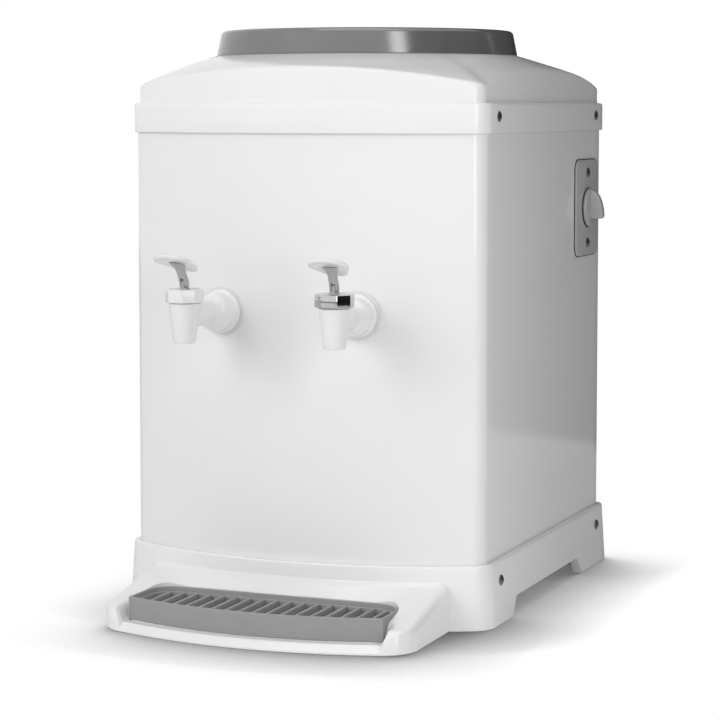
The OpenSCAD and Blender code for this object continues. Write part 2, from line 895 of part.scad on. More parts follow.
// Insulation on one side of the tank's middle plane
module insulation(front) {
    half = front ? [-foam_r, -2 * foam_r] : [-foam_r, clear];
    color("ivory") difference() {
        intersection() {
            translate([0, collar_y, foam_z]) difference() {
                cylinder(h = foam_top - foam_z, r = foam_r);
                translate([0, 0, foam_floor]) cylinder(h = foam_top, r = foam_in);
            }
            translate([half[0], collar_y + half[1], foam_z]) cube([2 * foam_r, 2 * foam_r, foam_top]);
        }
        for (side = [-1, 1]) tap_line(side, 0, tank_reach + tank_r / 2, water_r + hose_t + clear);
        for (low = [true, false]) translate(coil_tail(low)) rotate([90, 0, 0])
            cylinder(h = tail_y - collar_y, r = coil_tube_r + clear);
        translate([0, collar_y, knob_z]) rotate([-90, 0, 0])
            cylinder(h = foam_r + past, r = cond_r / 2 + clear);
    }
}

module front_insulation() {
    insulation(true);
}

module rear_insulation() {
    insulation(false);
}

// Evaporator: a helix with a straight tail at each end towards the back
module evaporator_coil() {
    steps = 48;
    n = coil_turns * steps;
    turn = asin(tail_x / coil_r);
    sweep = 360 * coil_turns - 2 * turn;
    tail_n = 3;
    tail_step = (tail_y - collar_y - coil_r * cos(turn)) / (tail_n + 1);
    path = concat(
        [for (k = [0 : tail_n - 1]) coil_tail(true) - [0, k * tail_step, 0]],
        [for (i = [0 : n]) let (a = 90 - turn - sweep * i / n) [
            coil_r * cos(a), collar_y + coil_r * sin(a), coil_z + (coil_top - coil_z) * i / n
        ]],
        [for (k = [tail_n - 1 : -1 : 0]) coil_tail(false) - [0, k * tail_step, 0]]
    );
    color("peru") tube(path, coil_tube_r, 8);
}

// End of the coil's lower tail on the right, or of its upper tail on the left
function coil_tail(low) = low ? [tail_x, tail_y, coil_z] : [-tail_x, tail_y, coil_top];

module tank_frame() {
    leg_foot = 20;
    color("silver") translate([0, frame_back_y]) rotate([90, 0, 0]) linear_extrude(frame_l) {
        translate([-frame_w / 2, frame_z]) square([frame_w, frame_t]);
        for (side = [0, 1]) mirror([side, 0]) {
            translate([frame_w / 2 - frame_t, deck_top]) square([frame_t, frame_z - deck_top + eps]);
            translate([frame_w / 2 - eps, deck_top]) square([leg_foot, frame_t]);
        }
    }
}

// Refrigeration

// Places its children at the compressor's four bolts
module bolt_places() {
    for (x = [-1, 1], y = [-1, 1])
        translate([x * bolt_gap / 2, can_y + y * bolt_gap / 4, deck_top]) children();
}

module compressor() {
    round_r = 20;
    rail_w = 26;
    color("dimgray") difference() {
        union() {
            translate([0, can_y, can_z]) rotate_extrude() {
                square([can_r - round_r, can_h]);
                translate([0, round_r]) square([can_r, can_h - 2 * round_r]);
                for (z = [round_r, can_h - round_r]) translate([can_r - round_r, z]) circle(r = round_r);
            }
            for (y = [-1, 1]) translate([0, can_y + y * bolt_gap / 4, can_z - can_foot_t + rail_t / 2])
                cube([bolt_gap + rail_w, rail_w, rail_t], center = true);
        }
        bolt_places() cylinder(h = can_h, r = screw_r + run);
    }
}

module compressor_grommets() {
    color("black") bolt_places() difference() {
        cylinder(h = grommet_h, r = grommet_r);
        translate([0, 0, -past]) cylinder(h = grommet_h + 2 * past, r = screw_r + run);
    }
}

module compressor_bolts() {
    bolt_head_h = 3;
    color("silver") bolt_places() {
        head_z = grommet_h + rail_t;
        translate([0, 0, -deck_t]) cylinder(h = deck_t + head_z + eps, r = screw_r);
        translate([0, 0, head_z]) cylinder(h = bolt_head_h, r = head_r, $fn = 6);
    }
}

module terminal_box() {
    w = 46;
    h = 60;
    d = 26;
    color("black") difference() {
        translate([can_r - d / 2, can_y - w / 2, can_z + can_h / 2 - h / 2]) cube([d, w, h]);
        translate([0, can_y, can_z]) cylinder(h = can_h, r = can_r + run);
    }
}

// Serpentine tube with U-bends and two side strips that stand on the rear panel
module condenser() {
    strip_t = 1.5;
    strip_w = 18;
    strip_x = 0.4 * cond_w;
    bend = cond_pitch / 2;
    color("darkslategray") translate([0, cond_y]) {
        for (i = [0 : cond_runs - 1]) {
            z = cond_z + i * cond_pitch;
            translate([-cond_w / 2, 0, z]) rotate([0, 90, 0]) cylinder(h = cond_w, r = cond_r);
            side = i % 2 == 0 ? 1 : -1;
            if (i < cond_runs - 1) translate([side * cond_w / 2, 0, z + bend]) rotate([90, 0, 0])
                rotate([0, 0, side > 0 ? -90 : 90]) rotate_extrude(angle = 180)
                    translate([bend, 0]) circle(r = cond_r);
        }
        for (side = [-1, 1]) translate([side * strip_x - strip_t / 2, -strip_w / 2, cond_z - bend])
            cube([strip_t, back_y - cond_y + strip_w / 2, cond_top - cond_z + 2 * bend]);
    }
}

// Drier in the line from the condenser's lower end to a thin pipe that the coil's lower tail ends on
module filter_drier() {
    thin_r = pipe_r / 2;
    x = tail_x;
    y = tail_y + thin_r;
    side_x = -cond_w / 2 - pipe_step;
    foot = 50;
    head = 40;
    color("peru") {
        pipe([
            [-cond_w / 2, cond_y, cond_z], [side_x, cond_y, cond_z], [side_x, y, cond_z],
            [x, y, cond_z], [x, y, cond_z + foot + eps]
        ], pipe_r);
        translate([x, y, cond_z + foot]) cylinder(h = coil_z - head - cond_z - foot, r = drier_r);
        translate([x, y, coil_z - head - eps]) cylinder(h = head + 2 * thin_r, r = thin_r);
    }
}

// Pipe that the coil's upper tail ends on, down to the compressor's side
module suction_pipe() {
    low = can_z + 0.6 * can_h;
    x = -tail_x;
    y = tail_y + pipe_r;
    end_y = can_y + sqrt(pow(can_r, 2) - pow(x, 2)) - pipe_r - past;
    color("peru") difference() {
        pipe([[x, y, coil_top + 2 * pipe_r], [x, y, low], [x, end_y, low]], pipe_r);
        translate([0, can_y, can_z]) cylinder(h = can_h, r = can_r + run);
    }
}

// Pipe from the compressor's top to the condenser's upper end
module discharge_pipe() {
    top = can_z + can_h;
    lift = top + pipe_step;
    end = cond_runs % 2 == 0 ? -1 : 1;
    from_x = end * can_r / 3;
    side_x = end * (cond_w / 2 + pipe_step);
    y = cond_y - 2 * bend_r - pipe_r;
    color("peru") pipe([
        [from_x, can_y, top], [from_x, can_y, lift], [from_x, y, lift], [side_x, y, lift],
        [side_x, y, cond_top], [side_x, cond_y, cond_top], [end * cond_w / 2, cond_y, cond_top]
    ], pipe_r);
}

// Thermostat

module thermostat() {
    x = half_w - sheet_t - clear;
    color("lightgray") {
        translate([x - thermo_d, knob_y - thermo_w / 2, knob_z - thermo_h / 2])
            cube([thermo_d, thermo_w, thermo_h]);
        translate([x - eps, knob_y, knob_z]) rotate([0, 90, 0])
            cylinder(h = knob_x + knob_t - x, r = spindle_r);
    }
}

// Sensing tube from the thermostat to the coil
module sensor_tube() {
    x = half_w - sheet_t - clear - thermo_d;
    color("peru") pipe([
        [x, knob_y, knob_z], [0, knob_y, knob_z], [0, collar_y + foam_in + clear, knob_z]
    ], cond_r / 2);
}

// Plate with its outline on the right side of the cabinet
module thermostat_plate() {
    color("gainsboro") translate([half_w, knob_y, knob_z]) rotate([0, 90, 0])
        linear_extrude(plate_t) difference() {
            round_rect(plate_h, plate_w, plate_r);
            circle(r = spindle_r + spindle_gap);
            for (side = [-1, 1]) translate([side * plate_gap / 2, 0]) circle(r = screw_r + run);
        }
}

module plate_screws() {
    color("silver") for (side = [-1, 1])
        translate([half_w + plate_t, knob_y, knob_z + side * plate_gap / 2]) rotate([0, 90, 0]) screw();
}

// Disc with a bar grip whose ends are rounded
module thermostat_knob() {
    rim = 2;
    l = knob_r - rim;
    crown_r = 1.1 * l;
    color("whitesmoke") translate([knob_x, knob_y, knob_z]) rotate([0, 90, 0]) difference() {
        union() {
            cylinder(h = knob_t, r = knob_r);
            intersection() {
                translate([-l, -grip_w / 2, 0]) cube([2 * l, grip_w, knob_t + grip_h]);
                translate([0, grip_w, knob_t + grip_h - crown_r]) rotate([90, 0, 0])
                    cylinder(h = 2 * grip_w, r = crown_r);
            }
        }
        translate([0, 0, -past]) cylinder(h = knob_t + past + spindle_gap, r = spindle_r + run);
    }
}

// Taps

// Puts its children at a tap: origin on the spout's axis at the shank's height, +Y towards the wall
module tap_place(side) {
    translate([side * spout_x, spout_y, tap_z]) rotate([0, 0, side * tap_turn]) children();
}

// Bell, neck and flange along the shank, seen as a half section
module bell_profile() {
    bell_edge = 2;
    dome = 0.9 * bell_r;
    foot = tap_reach - gasket_rim - bell_edge;
    dome_end = foot - bell_edge;
    square([tap_neck_r, dome_end]);
    intersection() {
        translate([0, dome_end]) circle(r = dome);
        translate([0, dome_end - dome]) square([dome, dome + eps]);
    }
    translate([0, dome_end]) square([dome, bell_edge + eps]);
    translate([0, foot]) square([bell_r, bell_edge]);
}

// Solid behind the cabinet's front wall
module behind_wall(inset = 0) {
    translate([0, bow_y, 0]) cylinder(h = seat_z, r = front_r - inset, $fn = 1440);
}

module tap_body(side) {
    barrel_top = ring_top - ring_t - clear;
    color("whitesmoke") tap_place(side) difference() {
        union() {
            translate([0, 0, -spout_drop]) cylinder(h = spout_drop + ring_z, r1 = spout_r, r2 = barrel_r);
            cylinder(h = barrel_top, r = thread_r);
            rotate([-90, 0, 0]) rotate_extrude() bell_profile();
            translate([0, tap_neck_r, 0]) rotate([-90, 0, 0])
                cylinder(h = tap_reach + shank_l - tap_neck_r, r = shank_r);
        }
        translate([0, 0, valve_z]) cylinder(h = barrel_top - valve_z + past, r = chamber_r);
        translate([0, 0, -spout_drop - past]) cylinder(h = spout_drop + past, r = outlet_r);
        rotate([-90, 0, 0]) cylinder(h = tap_reach + shank_l + past, r = water_r);
    }
}

// Ring nut with an open top for the plunger's rod
module tap_ring(side, tint) {
    rounding = 1.5;
    color(tint) tap_place(side) rotate_extrude() difference() {
        union() {
            translate([0, ring_z + clear]) square([ring_r, ring_h - clear - rounding]);
            translate([0, ring_top - rounding - eps]) square([ring_r - rounding, rounding + eps]);
            translate([ring_r - rounding, ring_top - rounding]) circle(r = rounding);
        }
        square([rod_r + clear, ring_top + past]);
        square([thread_r + run, ring_top - ring_t]);
    }
}

// Outline of the paddle seen from above: wide at the front, narrower towards the wall
module paddle_plan() {
    wide = paddle_w / 2;
    narrow = 0.6 * wide;
    front = paddle_behind - paddle_l;
    y1 = front + wide;
    y2 = paddle_behind - narrow;
    lean = asin((wide - narrow) / (y2 - y1));
    just_inside = 0.99;
    edge = just_inside * [cos(lean), sin(lean)];
    translate([0, y1]) circle(r = wide);
    translate([0, y2]) circle(r = narrow);
    polygon([
        [wide * edge[0], y1 + wide * edge[1]], [narrow * edge[0], y2 + narrow * edge[1]],
        [-narrow * edge[0], y2 + narrow * edge[1]], [-wide * edge[0], y1 + wide * edge[1]]
    ]);
}

module lever(side) {
    crown = ring_top + paddle_rise;
    axis_z = crown - paddle_r;
    stem_y = -6;
    stem_d = 8;
    neck_z = pin_z + cam_r + 2 * clear;
    color("whitesmoke") tap_place(side) difference() {
        union() {
            // Curved paddle
            intersection() {
                linear_extrude(crown + past) paddle_plan();
                translate([-paddle_w, -paddle_ahead, axis_z]) rotate([0, 90, 0]) difference() {
                    cylinder(h = 2 * paddle_w, r = paddle_r);
                    translate([0, 0, -past]) cylinder(h = 2 * paddle_w + 2 * past, r = paddle_r - paddle_t);
                }
            }
            // Stem up to the paddle
            intersection() {
                translate([-stem_w / 2, stem_y - stem_d / 2, neck_z]) cube([stem_w, stem_d, crown]);
                translate([-paddle_w, -paddle_ahead, axis_z]) rotate([0, 90, 0])
                    cylinder(h = 2 * paddle_w, r = paddle_r - paddle_t / 2);
            }
            // Fork with the cam foot in front of the pin
            translate([-stem_w / 2, 0, pin_z]) rotate([90, 0, 90]) linear_extrude(stem_w) {
                circle(r = cam_r);
                translate([-cam_e, 0]) circle(r = cam_r);
                translate([-cam_e, -cam_r]) square([cam_e, 2 * cam_r]);
                translate([stem_y - stem_d / 2, 0]) square([stem_d, neck_z - pin_z + eps]);
            }
        }
        translate([-fork_gap / 2, -cam_e - 2 * cam_r, pin_z - 2 * cam_r])
            cube([fork_gap, cam_e + 4 * cam_r, neck_z - pin_z + 2 * cam_r]);
        translate([-stem_w, 0, pin_z]) rotate([0, 90, 0]) cylinder(h = 2 * stem_w, r = pin_r + run);
    }
}

module lever_pin(side) {
    color("silver") tap_place(side) translate([-stem_w / 2, 0, pin_z]) rotate([0, 90, 0])
        cylinder(h = stem_w, r = pin_r);
}

// Rod with a flat tongue for the pin, a spring flange and a stub for the seal
module plunger(side) {
    flange_z = plunger_flange_z;
    color("white") tap_place(side) difference() {
        union() {
            cylinder(h = pin_z - cam_r - past, r = rod_r);
            translate([0, 0, flange_z]) cylinder(h = flange_t, r = chamber_r - clear);
            intersection() {
                translate([0, 0, flange_z]) cylinder(h = pin_z + rod_r - flange_z, r = rod_r);
                translate([-tongue_w / 2, -rod_r, 0]) cube([tongue_w, 2 * rod_r, pin_z]);
            }
            intersection() {
                translate([-tongue_w / 2, 0, pin_z]) rotate([0, 90, 0])
                    cylinder(h = tongue_w, r = rod_r - clear);
                cylinder(h = pin_z + rod_r, r = rod_r);
            }
        }
        translate([-stem_w, 0, pin_z]) rotate([0, 90, 0]) cylinder(h = 2 * stem_w, r = pin_r);
    }
}

// Soft cup that closes the outlet
module tap_seal(side) {
    wall = 1.2;
    low = valve_z + clear;
    high = plunger_flange_z - wall;
    color("gainsboro") tap_place(side) difference() {
        translate([0, 0, low]) cylinder(h = high - low, r1 = outlet_r + wall, r2 = rod_r + wall);
        cylinder(h = high + past, r = rod_r);
    }
}

// Closing spring between the plunger's flange and the ring nut
module tap_spring(side) {
    wire = 0.7;
    r = (rod_r + chamber_r) / 2;
    turns = 5;
    steps = 16;
    low = plunger_flange_z + flange_t + wire + eps;
    high = ring_top - ring_t - wire - eps;
    n = turns * steps;
    color("silver") tap_place(side) tube(
        [for (i = [0 : n]) let (a = 360 * i / steps) [r * cos(a), r * sin(a), low + (high - low) * i / n]],
        wire
    );
}

// Washer that takes up the wall's curve
module tap_gasket(side) {
    color("whitesmoke") difference() {
        tap_line(side, tap_reach - gasket_rim, tap_reach + bell_r, bell_r + gasket_out);
        tap_line(side, 0, tap_reach + 2 * bell_r, shank_r + run);
        behind_wall();
    }
}

module tap_nut(side) {
    color("white") difference() {
        intersection() {
            tap_place(side) translate([0, tap_reach - bell_r, 0]) rotate([-90, 0, 0])
                cylinder(h = bell_r + sheet_t + nut_h, r = nut_r, $fn = 6);
            behind_wall(sheet_t + run);
        }
        tap_line(side, 0, tap_reach + 2 * shank_l, shank_r + run);
    }
}

module hose(side) {
    color("lightgray") difference() {
        tap_line(side, tap_reach + shank_l, tank_reach - hose_gap, water_r + hose_t);
        tap_line(side, 0, 2 * tank_reach, water_r + run);
    }
}

module left_tap_body() { tap_body(-1); }
module right_tap_body() { tap_body(1); }
module left_tap_ring() { tap_ring(-1, "whitesmoke"); }
module right_tap_ring() { tap_ring(1, "silver"); }
module left_lever() { lever(-1); }
module right_lever() { lever(1); }
module left_lever_pin() { lever_pin(-1); }
module right_lever_pin() { lever_pin(1); }
module left_plunger() { plunger(-1); }
module right_plunger() { plunger(1); }
module left_tap_seal() { tap_seal(-1); }
module right_tap_seal() { tap_seal(1); }
module left_tap_spring() { tap_spring(-1); }
module right_tap_spring() { tap_spring(1); }
module left_tap_gasket() { tap_gasket(-1); }
module right_tap_gasket() { tap_gasket(1); }
module left_tap_nut() { tap_nut(-1); }
module right_tap_nut() { tap_nut(1); }
module left_hose() { hose(-1); }
module right_hose() { hose(1); }

// Drip tray

module drip_tray() {
    floor_z = lip_z + clear;
    color("darkgray") difference() {
        translate([0, 0, floor_z]) linear_extrude(tray_top_z - floor_z) tray_plan();
        translate([0, 0, floor_z + tray_t]) linear_extrude(tray_top_z) tray_plan(-tray_t);
    }
}

// Slats from front to back in a thin frame that stands on the tray's floor
module drip_grille() {
    top = tray_top_z - slat_drop;
    foot = lip_z + tray_t + 2 * clear;
    span = tray_w - 2 * tray_t;
    pitch = span / (slat_n + 1);
    frame = 2;
    edge = tray_t + clear;
    color("darkgray") {
        translate([0, 0, foot]) linear_extrude(top - foot) difference() {
            tray_plan(-edge);
            tray_plan(-edge - frame);
        }
        translate([0, 0, top - slat_h]) linear_extrude(slat_h) intersection() {
            tray_plan(-edge - frame / 2);
            for (i = [1 : slat_n]) translate([i * pitch - span / 2 - slat_t / 2, tray_front_y])
                square([slat_t, tray_back_y - tray_front_y]);
        }
    }
}

// The part, with the origin under its middle
module placed() {
    translate([-mid_x, -mid_y, 0]) children();
}

placed() base_pan();
placed() wrap_panel();
placed() rear_panel();
placed() top_cover();
placed() bottle_collar();
placed() bottle_funnel();
placed() water_tank();
placed() tank_gasket();
placed() baffle_plate();
placed() front_insulation();
placed() rear_insulation();
placed() evaporator_coil();
placed() tank_frame();
placed() compressor();
placed() compressor_grommets();
placed() compressor_bolts();
placed() terminal_box();
placed() condenser();
placed() filter_drier();
placed() suction_pipe();
placed() discharge_pipe();
placed() thermostat();
placed() sensor_tube();
placed() thermostat_plate();
placed() plate_screws();
placed() thermostat_knob();
placed() cord_gland();
placed() left_tap_body();
placed() right_tap_body();
placed() left_tap_ring();
placed() right_tap_ring();
placed() left_lever();
placed() right_lever();
placed() left_lever_pin();
placed() right_lever_pin();
placed() left_plunger();
placed() right_plunger();
placed() left_tap_seal();
placed() right_tap_seal();
placed() left_tap_spring();
placed() right_tap_spring();
placed() left_tap_gasket();
placed() right_tap_gasket();
placed() left_tap_nut();
placed() right_tap_nut();
placed() left_hose();
placed() right_hose();
placed() drip_tray();
placed() drip_grille();
placed() cover_screws();
placed() base_screws();
placed() rear_screws();
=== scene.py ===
import math

import bmesh
import bpy
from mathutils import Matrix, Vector


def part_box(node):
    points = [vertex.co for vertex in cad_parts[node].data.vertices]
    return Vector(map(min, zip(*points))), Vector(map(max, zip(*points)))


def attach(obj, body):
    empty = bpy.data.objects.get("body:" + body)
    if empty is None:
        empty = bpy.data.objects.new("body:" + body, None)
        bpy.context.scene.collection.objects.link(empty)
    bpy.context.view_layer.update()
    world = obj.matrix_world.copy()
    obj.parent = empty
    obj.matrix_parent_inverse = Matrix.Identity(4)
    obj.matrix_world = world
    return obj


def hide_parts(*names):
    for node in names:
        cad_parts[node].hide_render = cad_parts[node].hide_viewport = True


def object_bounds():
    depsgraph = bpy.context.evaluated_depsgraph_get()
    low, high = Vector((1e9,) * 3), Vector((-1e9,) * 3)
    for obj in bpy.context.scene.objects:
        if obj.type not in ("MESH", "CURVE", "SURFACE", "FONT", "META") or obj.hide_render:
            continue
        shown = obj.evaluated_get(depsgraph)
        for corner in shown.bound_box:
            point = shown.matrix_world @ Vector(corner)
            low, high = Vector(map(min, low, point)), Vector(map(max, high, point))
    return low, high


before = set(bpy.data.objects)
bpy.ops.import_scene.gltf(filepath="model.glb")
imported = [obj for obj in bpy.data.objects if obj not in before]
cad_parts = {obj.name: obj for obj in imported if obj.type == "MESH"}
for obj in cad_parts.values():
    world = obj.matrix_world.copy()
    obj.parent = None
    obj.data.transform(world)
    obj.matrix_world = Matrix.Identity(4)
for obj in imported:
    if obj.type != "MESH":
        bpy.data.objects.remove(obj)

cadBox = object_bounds()
mm = 0.001
weldGap = 1e-6  # points nearer than this become one
panelLow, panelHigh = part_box("wrap_panel")
midX = (panelLow.x + panelHigh.x) / 2  # the cabinet's own axes: middle of its plan, floor
midY = (panelLow.y + panelHigh.y) / 2


def spot(x, y, z):
    return Vector((midX + x * mm, midY + y * mm, z * mm))


# small modelling helpers

def deselectAll():
    if bpy.context.object and bpy.context.object.mode != "OBJECT":
        bpy.ops.object.mode_set(mode="OBJECT")
    bpy.ops.object.select_all(action="DESELECT")


def pickOnly(piece):
    deselectAll()
    piece.select_set(True)
    bpy.context.view_layer.objects.active = piece


def smoothstep(low, high, value):
    t = min(1, max(0, (value - low) / (high - low)))
    return t * t * (3 - 2 * t)


def lerp(a, b, t):
    return a + (b - a) * t


def arcPoints(x, y, r, start, end, steps):
    angles = [math.radians(lerp(start, end, i / steps)) for i in range(steps + 1)]
    return [(x + r * math.cos(a), y + r * math.sin(a)) for a in angles]


def linePoints(a, b, steps):
    return [(lerp(a[0], b[0], i / steps), lerp(a[1], b[1], i / steps)) for i in range(steps + 1)]


# each corner is (x, y) or (x, y, radius): corners with a radius become arcs
def roundCorners(corners, closed=False, steps=5):
    points = []
    last = len(corners) - 1
    for i, corner in enumerate(corners):
        here = Vector(corner[:2])
        r = corner[2] if len(corner) > 2 else 0
        if r == 0 or (not closed and i in (0, last)):
            points.append(tuple(here))
            continue
        back = (Vector(corners[i - 1][:2]) - here).normalized()
        ahead = (Vector(corners[(i + 1) % len(corners)][:2]) - here).normalized()
        half = back.angle(ahead) / 2
        centre = here + (back + ahead).normalized() * r / math.sin(half)
        start = (here + back * r / math.tan(half) - centre).normalized()
        end = (here + ahead * r / math.tan(half) - centre).normalized()
        for k in range(steps + 1):
            points.append(tuple(centre + start.slerp(end, k / steps) * r))
    return points


# a circle laid on the first outline, then one extrude for each further outline
def loftPiece(name, rings, fillEnds=False, openPath=False):
    deselectAll()
    bpy.ops.mesh.primitive_circle_add(vertices=len(rings[0]), radius=mm)
    piece = bpy.context.object
    piece.name = name
    for vert, place in zip(piece.data.vertices, rings[0]):
        vert.co = place
    order = {tuple(vert.co): i for i, vert in enumerate(piece.data.vertices)}
    bpy.ops.object.mode_set(mode="EDIT")
    bpy.ops.mesh.select_all(action="SELECT")
    if openPath:
        shape = bmesh.from_edit_mesh(piece.data)
        shape.verts.ensure_lookup_table()
        closing = shape.edges.get((shape.verts[0], shape.verts[len(rings[0]) - 1]))
        bpy.ops.mesh.select_all(action="DESELECT")
        closing.select_set(True)
        bmesh.update_edit_mesh(piece.data)
        bpy.ops.mesh.delete(type="EDGE")
        bpy.ops.mesh.select_all(action="SELECT")
    for ring in rings[1:]:
        bpy.ops.mesh.extrude_region_move()
        shape = bmesh.from_edit_mesh(piece.data)
        newOrder = {}
        for vert in [v for v in shape.verts if v.select]:
            i = order[tuple(vert.co)]
            vert.co = ring[i]
            newOrder[tuple(vert.co)] = i
        order = newOrder
        bmesh.update_edit_mesh(piece.data)
    bpy.ops.mesh.select_all(action="SELECT")
    bpy.ops.mesh.remove_doubles(threshold=weldGap)
    if fillEnds:
        bpy.ops.mesh.fill_holes(sides=0)
    bpy.ops.mesh.select_all(action="SELECT")
    bpy.ops.mesh.normals_make_consistent(inside=False)
    bpy.ops.object.mode_set(mode="OBJECT")
    return piece


# one vertex drawn out along the profile (radius, height) in millimetres, then spun round Z
def turnPiece(name, profile, steps=96):
    deselectAll()
    bpy.ops.mesh.primitive_plane_add(size=mm)
    piece = bpy.context.object
    piece.name = name
    bpy.ops.object.mode_set(mode="EDIT")
    bpy.ops.mesh.merge(type="CENTER")
    places = [Vector((r * mm, 0, z * mm)) for r, z in profile]
    bpy.ops.transform.translate(value=places[0])
    for here, there in zip(places, places[1:]):
        bpy.ops.mesh.extrude_vertices_move(TRANSFORM_OT_translate={"value": there - here})
    bpy.ops.mesh.select_all(action="SELECT")
    bpy.ops.mesh.spin(steps=steps, angle=2 * math.pi, center=(0, 0, 0), axis=(0, 0, 1))
    bpy.ops.mesh.select_all(action="SELECT")
    bpy.ops.mesh.remove_doubles(threshold=2 * weldGap)
    bpy.ops.mesh.normals_make_consistent(inside=False)
    bpy.ops.object.mode_set(mode="OBJECT")
    return piece


# a flat outline in the XY plane drawn up to a height, its long edges rounded
def slabPiece(name, outline, low, high, softness, steps=3):
    rings = []
    for k in range(steps + 1):
        a = math.pi / 2 * k / steps
        rings.append((softness * (1 - math.sin(a)), low + softness * (1 - math.cos(a))))
    rings += [(inset, high - (z - low)) for inset, z in reversed(rings)]
    middle = sum((Vector(p) for p in outline), Vector((0, 0))) / len(outline)
    laid = []
    for inset, z in rings:
        ring = []
        for p in outline:
            out = Vector(p) - middle
            shrunk = middle + out * (1 - inset / max(out.length, inset))
            ring.append(Vector((shrunk.x * mm, shrunk.y * mm, z * mm)))
        laid.append(ring)
    return loftPiece(name, laid, fillEnds=True)


def movePiece(piece, place, turn=(0, 0, 0)):
    pickOnly(piece)
    piece.rotation_euler = [math.radians(a) for a in turn]
    piece.location = place
    bpy.ops.object.transform_apply(location=True, rotation=True, scale=True)
    return piece


def joinPieces(first, *others):
    pickOnly(first)
    for piece in others:
        piece.select_set(True)
    bpy.ops.object.join()
    return first


def copyPiece(piece, name):
    twin = piece.copy()
    twin.data = piece.data.copy()
    twin.name = name
    bpy.context.collection.objects.link(twin)
    return twin


def applyModifier(piece, kind, **settings):
    pickOnly(piece)
    modifier = piece.modifiers.new(kind.title(), kind)
    for key, value in settings.items():
        setattr(modifier, key, value)
    bpy.ops.object.modifier_apply(modifier=modifier.name)


def finishPiece(piece, material, body, slot, *nodes, angle=35):
    pickOnly(piece)
    bpy.ops.object.shade_smooth_by_angle(angle=math.radians(angle))
    piece.data.materials.clear()
    piece.data.materials.append(material)
    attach(piece, body)
    if nodes:
        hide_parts(*nodes)
    return piece


# finishes: one shared group gives slow colour drift, uneven gloss and a fine moulded grain

def buildSurfaceGroup():
    group = bpy.data.node_groups.new("mouldedSurface", "ShaderNodeTree")
    socket = group.interface.new_socket
    socket("Vector", in_out="INPUT", socket_type="NodeSocketVector")
    socket("Tint", in_out="INPUT", socket_type="NodeSocketColor")
    for name in ("Drift", "Drift Scale", "Gloss", "Gloss Spread", "Grain Scale", "Grain Height"):
        socket(name, in_out="INPUT", socket_type="NodeSocketFloat")
    socket("Colour", in_out="OUTPUT", socket_type="NodeSocketColor")
    socket("Roughness", in_out="OUTPUT", socket_type="NodeSocketFloat")
    socket("Normal", in_out="OUTPUT", socket_type="NodeSocketVector")
    nodes, links = group.nodes, group.links
    given = nodes.new("NodeGroupInput")
    result = nodes.new("NodeGroupOutput")

    drift = nodes.new("ShaderNodeTexNoise")
    drift.inputs["Detail"].default_value = 3
    links.new(given.outputs["Vector"], drift.inputs["Vector"])
    links.new(given.outputs["Drift Scale"], drift.inputs["Scale"])
    centred = nodes.new("ShaderNodeMath")
    centred.operation = "SUBTRACT"
    centred.inputs[1].default_value = 0.5
    links.new(drift.outputs["Fac"], centred.inputs[0])
    scaled = nodes.new("ShaderNodeMath")
    scaled.operation = "MULTIPLY_ADD"
    scaled.inputs[2].default_value = 1
    links.new(centred.outputs[0], scaled.inputs[0])
    links.new(given.outputs["Drift"], scaled.inputs[1])
    shade = nodes.new("ShaderNodeVectorMath")
    shade.operation = "SCALE"
    links.new(given.outputs["Tint"], shade.inputs[0])
    links.new(scaled.outputs[0], shade.inputs["Scale"])
    links.new(shade.outputs[0], result.inputs["Colour"])

    grain = nodes.new("ShaderNodeTexNoise")
    grain.inputs["Detail"].default_value = 2
    links.new(given.outputs["Vector"], grain.inputs["Vector"])
    links.new(given.outputs["Grain Scale"], grain.inputs["Scale"])
    gloss = nodes.new("ShaderNodeMath")
    gloss.operation = "MULTIPLY_ADD"
    links.new(drift.outputs["Fac"], gloss.inputs[0])
    links.new(given.outputs["Gloss Spread"], gloss.inputs[1])
    links.new(given.outputs["Gloss"], gloss.inputs[2])
    links.new(gloss.outputs[0], result.inputs["Roughness"])
    bump = nodes.new("ShaderNodeBump")
    bump.inputs["Distance"].default_value = mm
    links.new(given.outputs["Grain Height"], bump.inputs["Strength"])
    links.new(grain.outputs["Fac"], bump.inputs["Height"])
    links.new(bump.outputs["Normal"], result.inputs["Normal"])
    return group


surfaceGroup = buildSurfaceGroup()


def makeFinish(name, tint, drift=0.04, driftScale=9, gloss=0.35, spread=0.1, grain=900, height=0.05,
               metallic=0, specular=0.5):
    material = bpy.data.materials.new(name)
    material.use_nodes = True
    nodes, links = material.node_tree.nodes, material.node_tree.links
    shader = nodes["Principled BSDF"]
    place = nodes.new("ShaderNodeTexCoord")
    surface = nodes.new("ShaderNodeGroup")
    surface.node_tree = surfaceGroup
    links.new(place.outputs["Object"], surface.inputs["Vector"])
    surface.inputs["Tint"].default_value = (*tint, 1)
    surface.inputs["Drift"].default_value = drift
    surface.inputs["Drift Scale"].default_value = driftScale
    surface.inputs["Gloss"].default_value = gloss - spread / 2
    surface.inputs["Gloss Spread"].default_value = spread
    surface.inputs["Grain Scale"].default_value = grain
    surface.inputs["Grain Height"].default_value = height
    links.new(surface.outputs["Colour"], shader.inputs["Base Color"])
    links.new(surface.outputs["Roughness"], shader.inputs["Roughness"])
    links.new(surface.outputs["Normal"], shader.inputs["Normal"])
    shader.inputs["Metallic"].default_value = metallic
    shader.inputs["Specular IOR Level"].default_value = specular
    return material


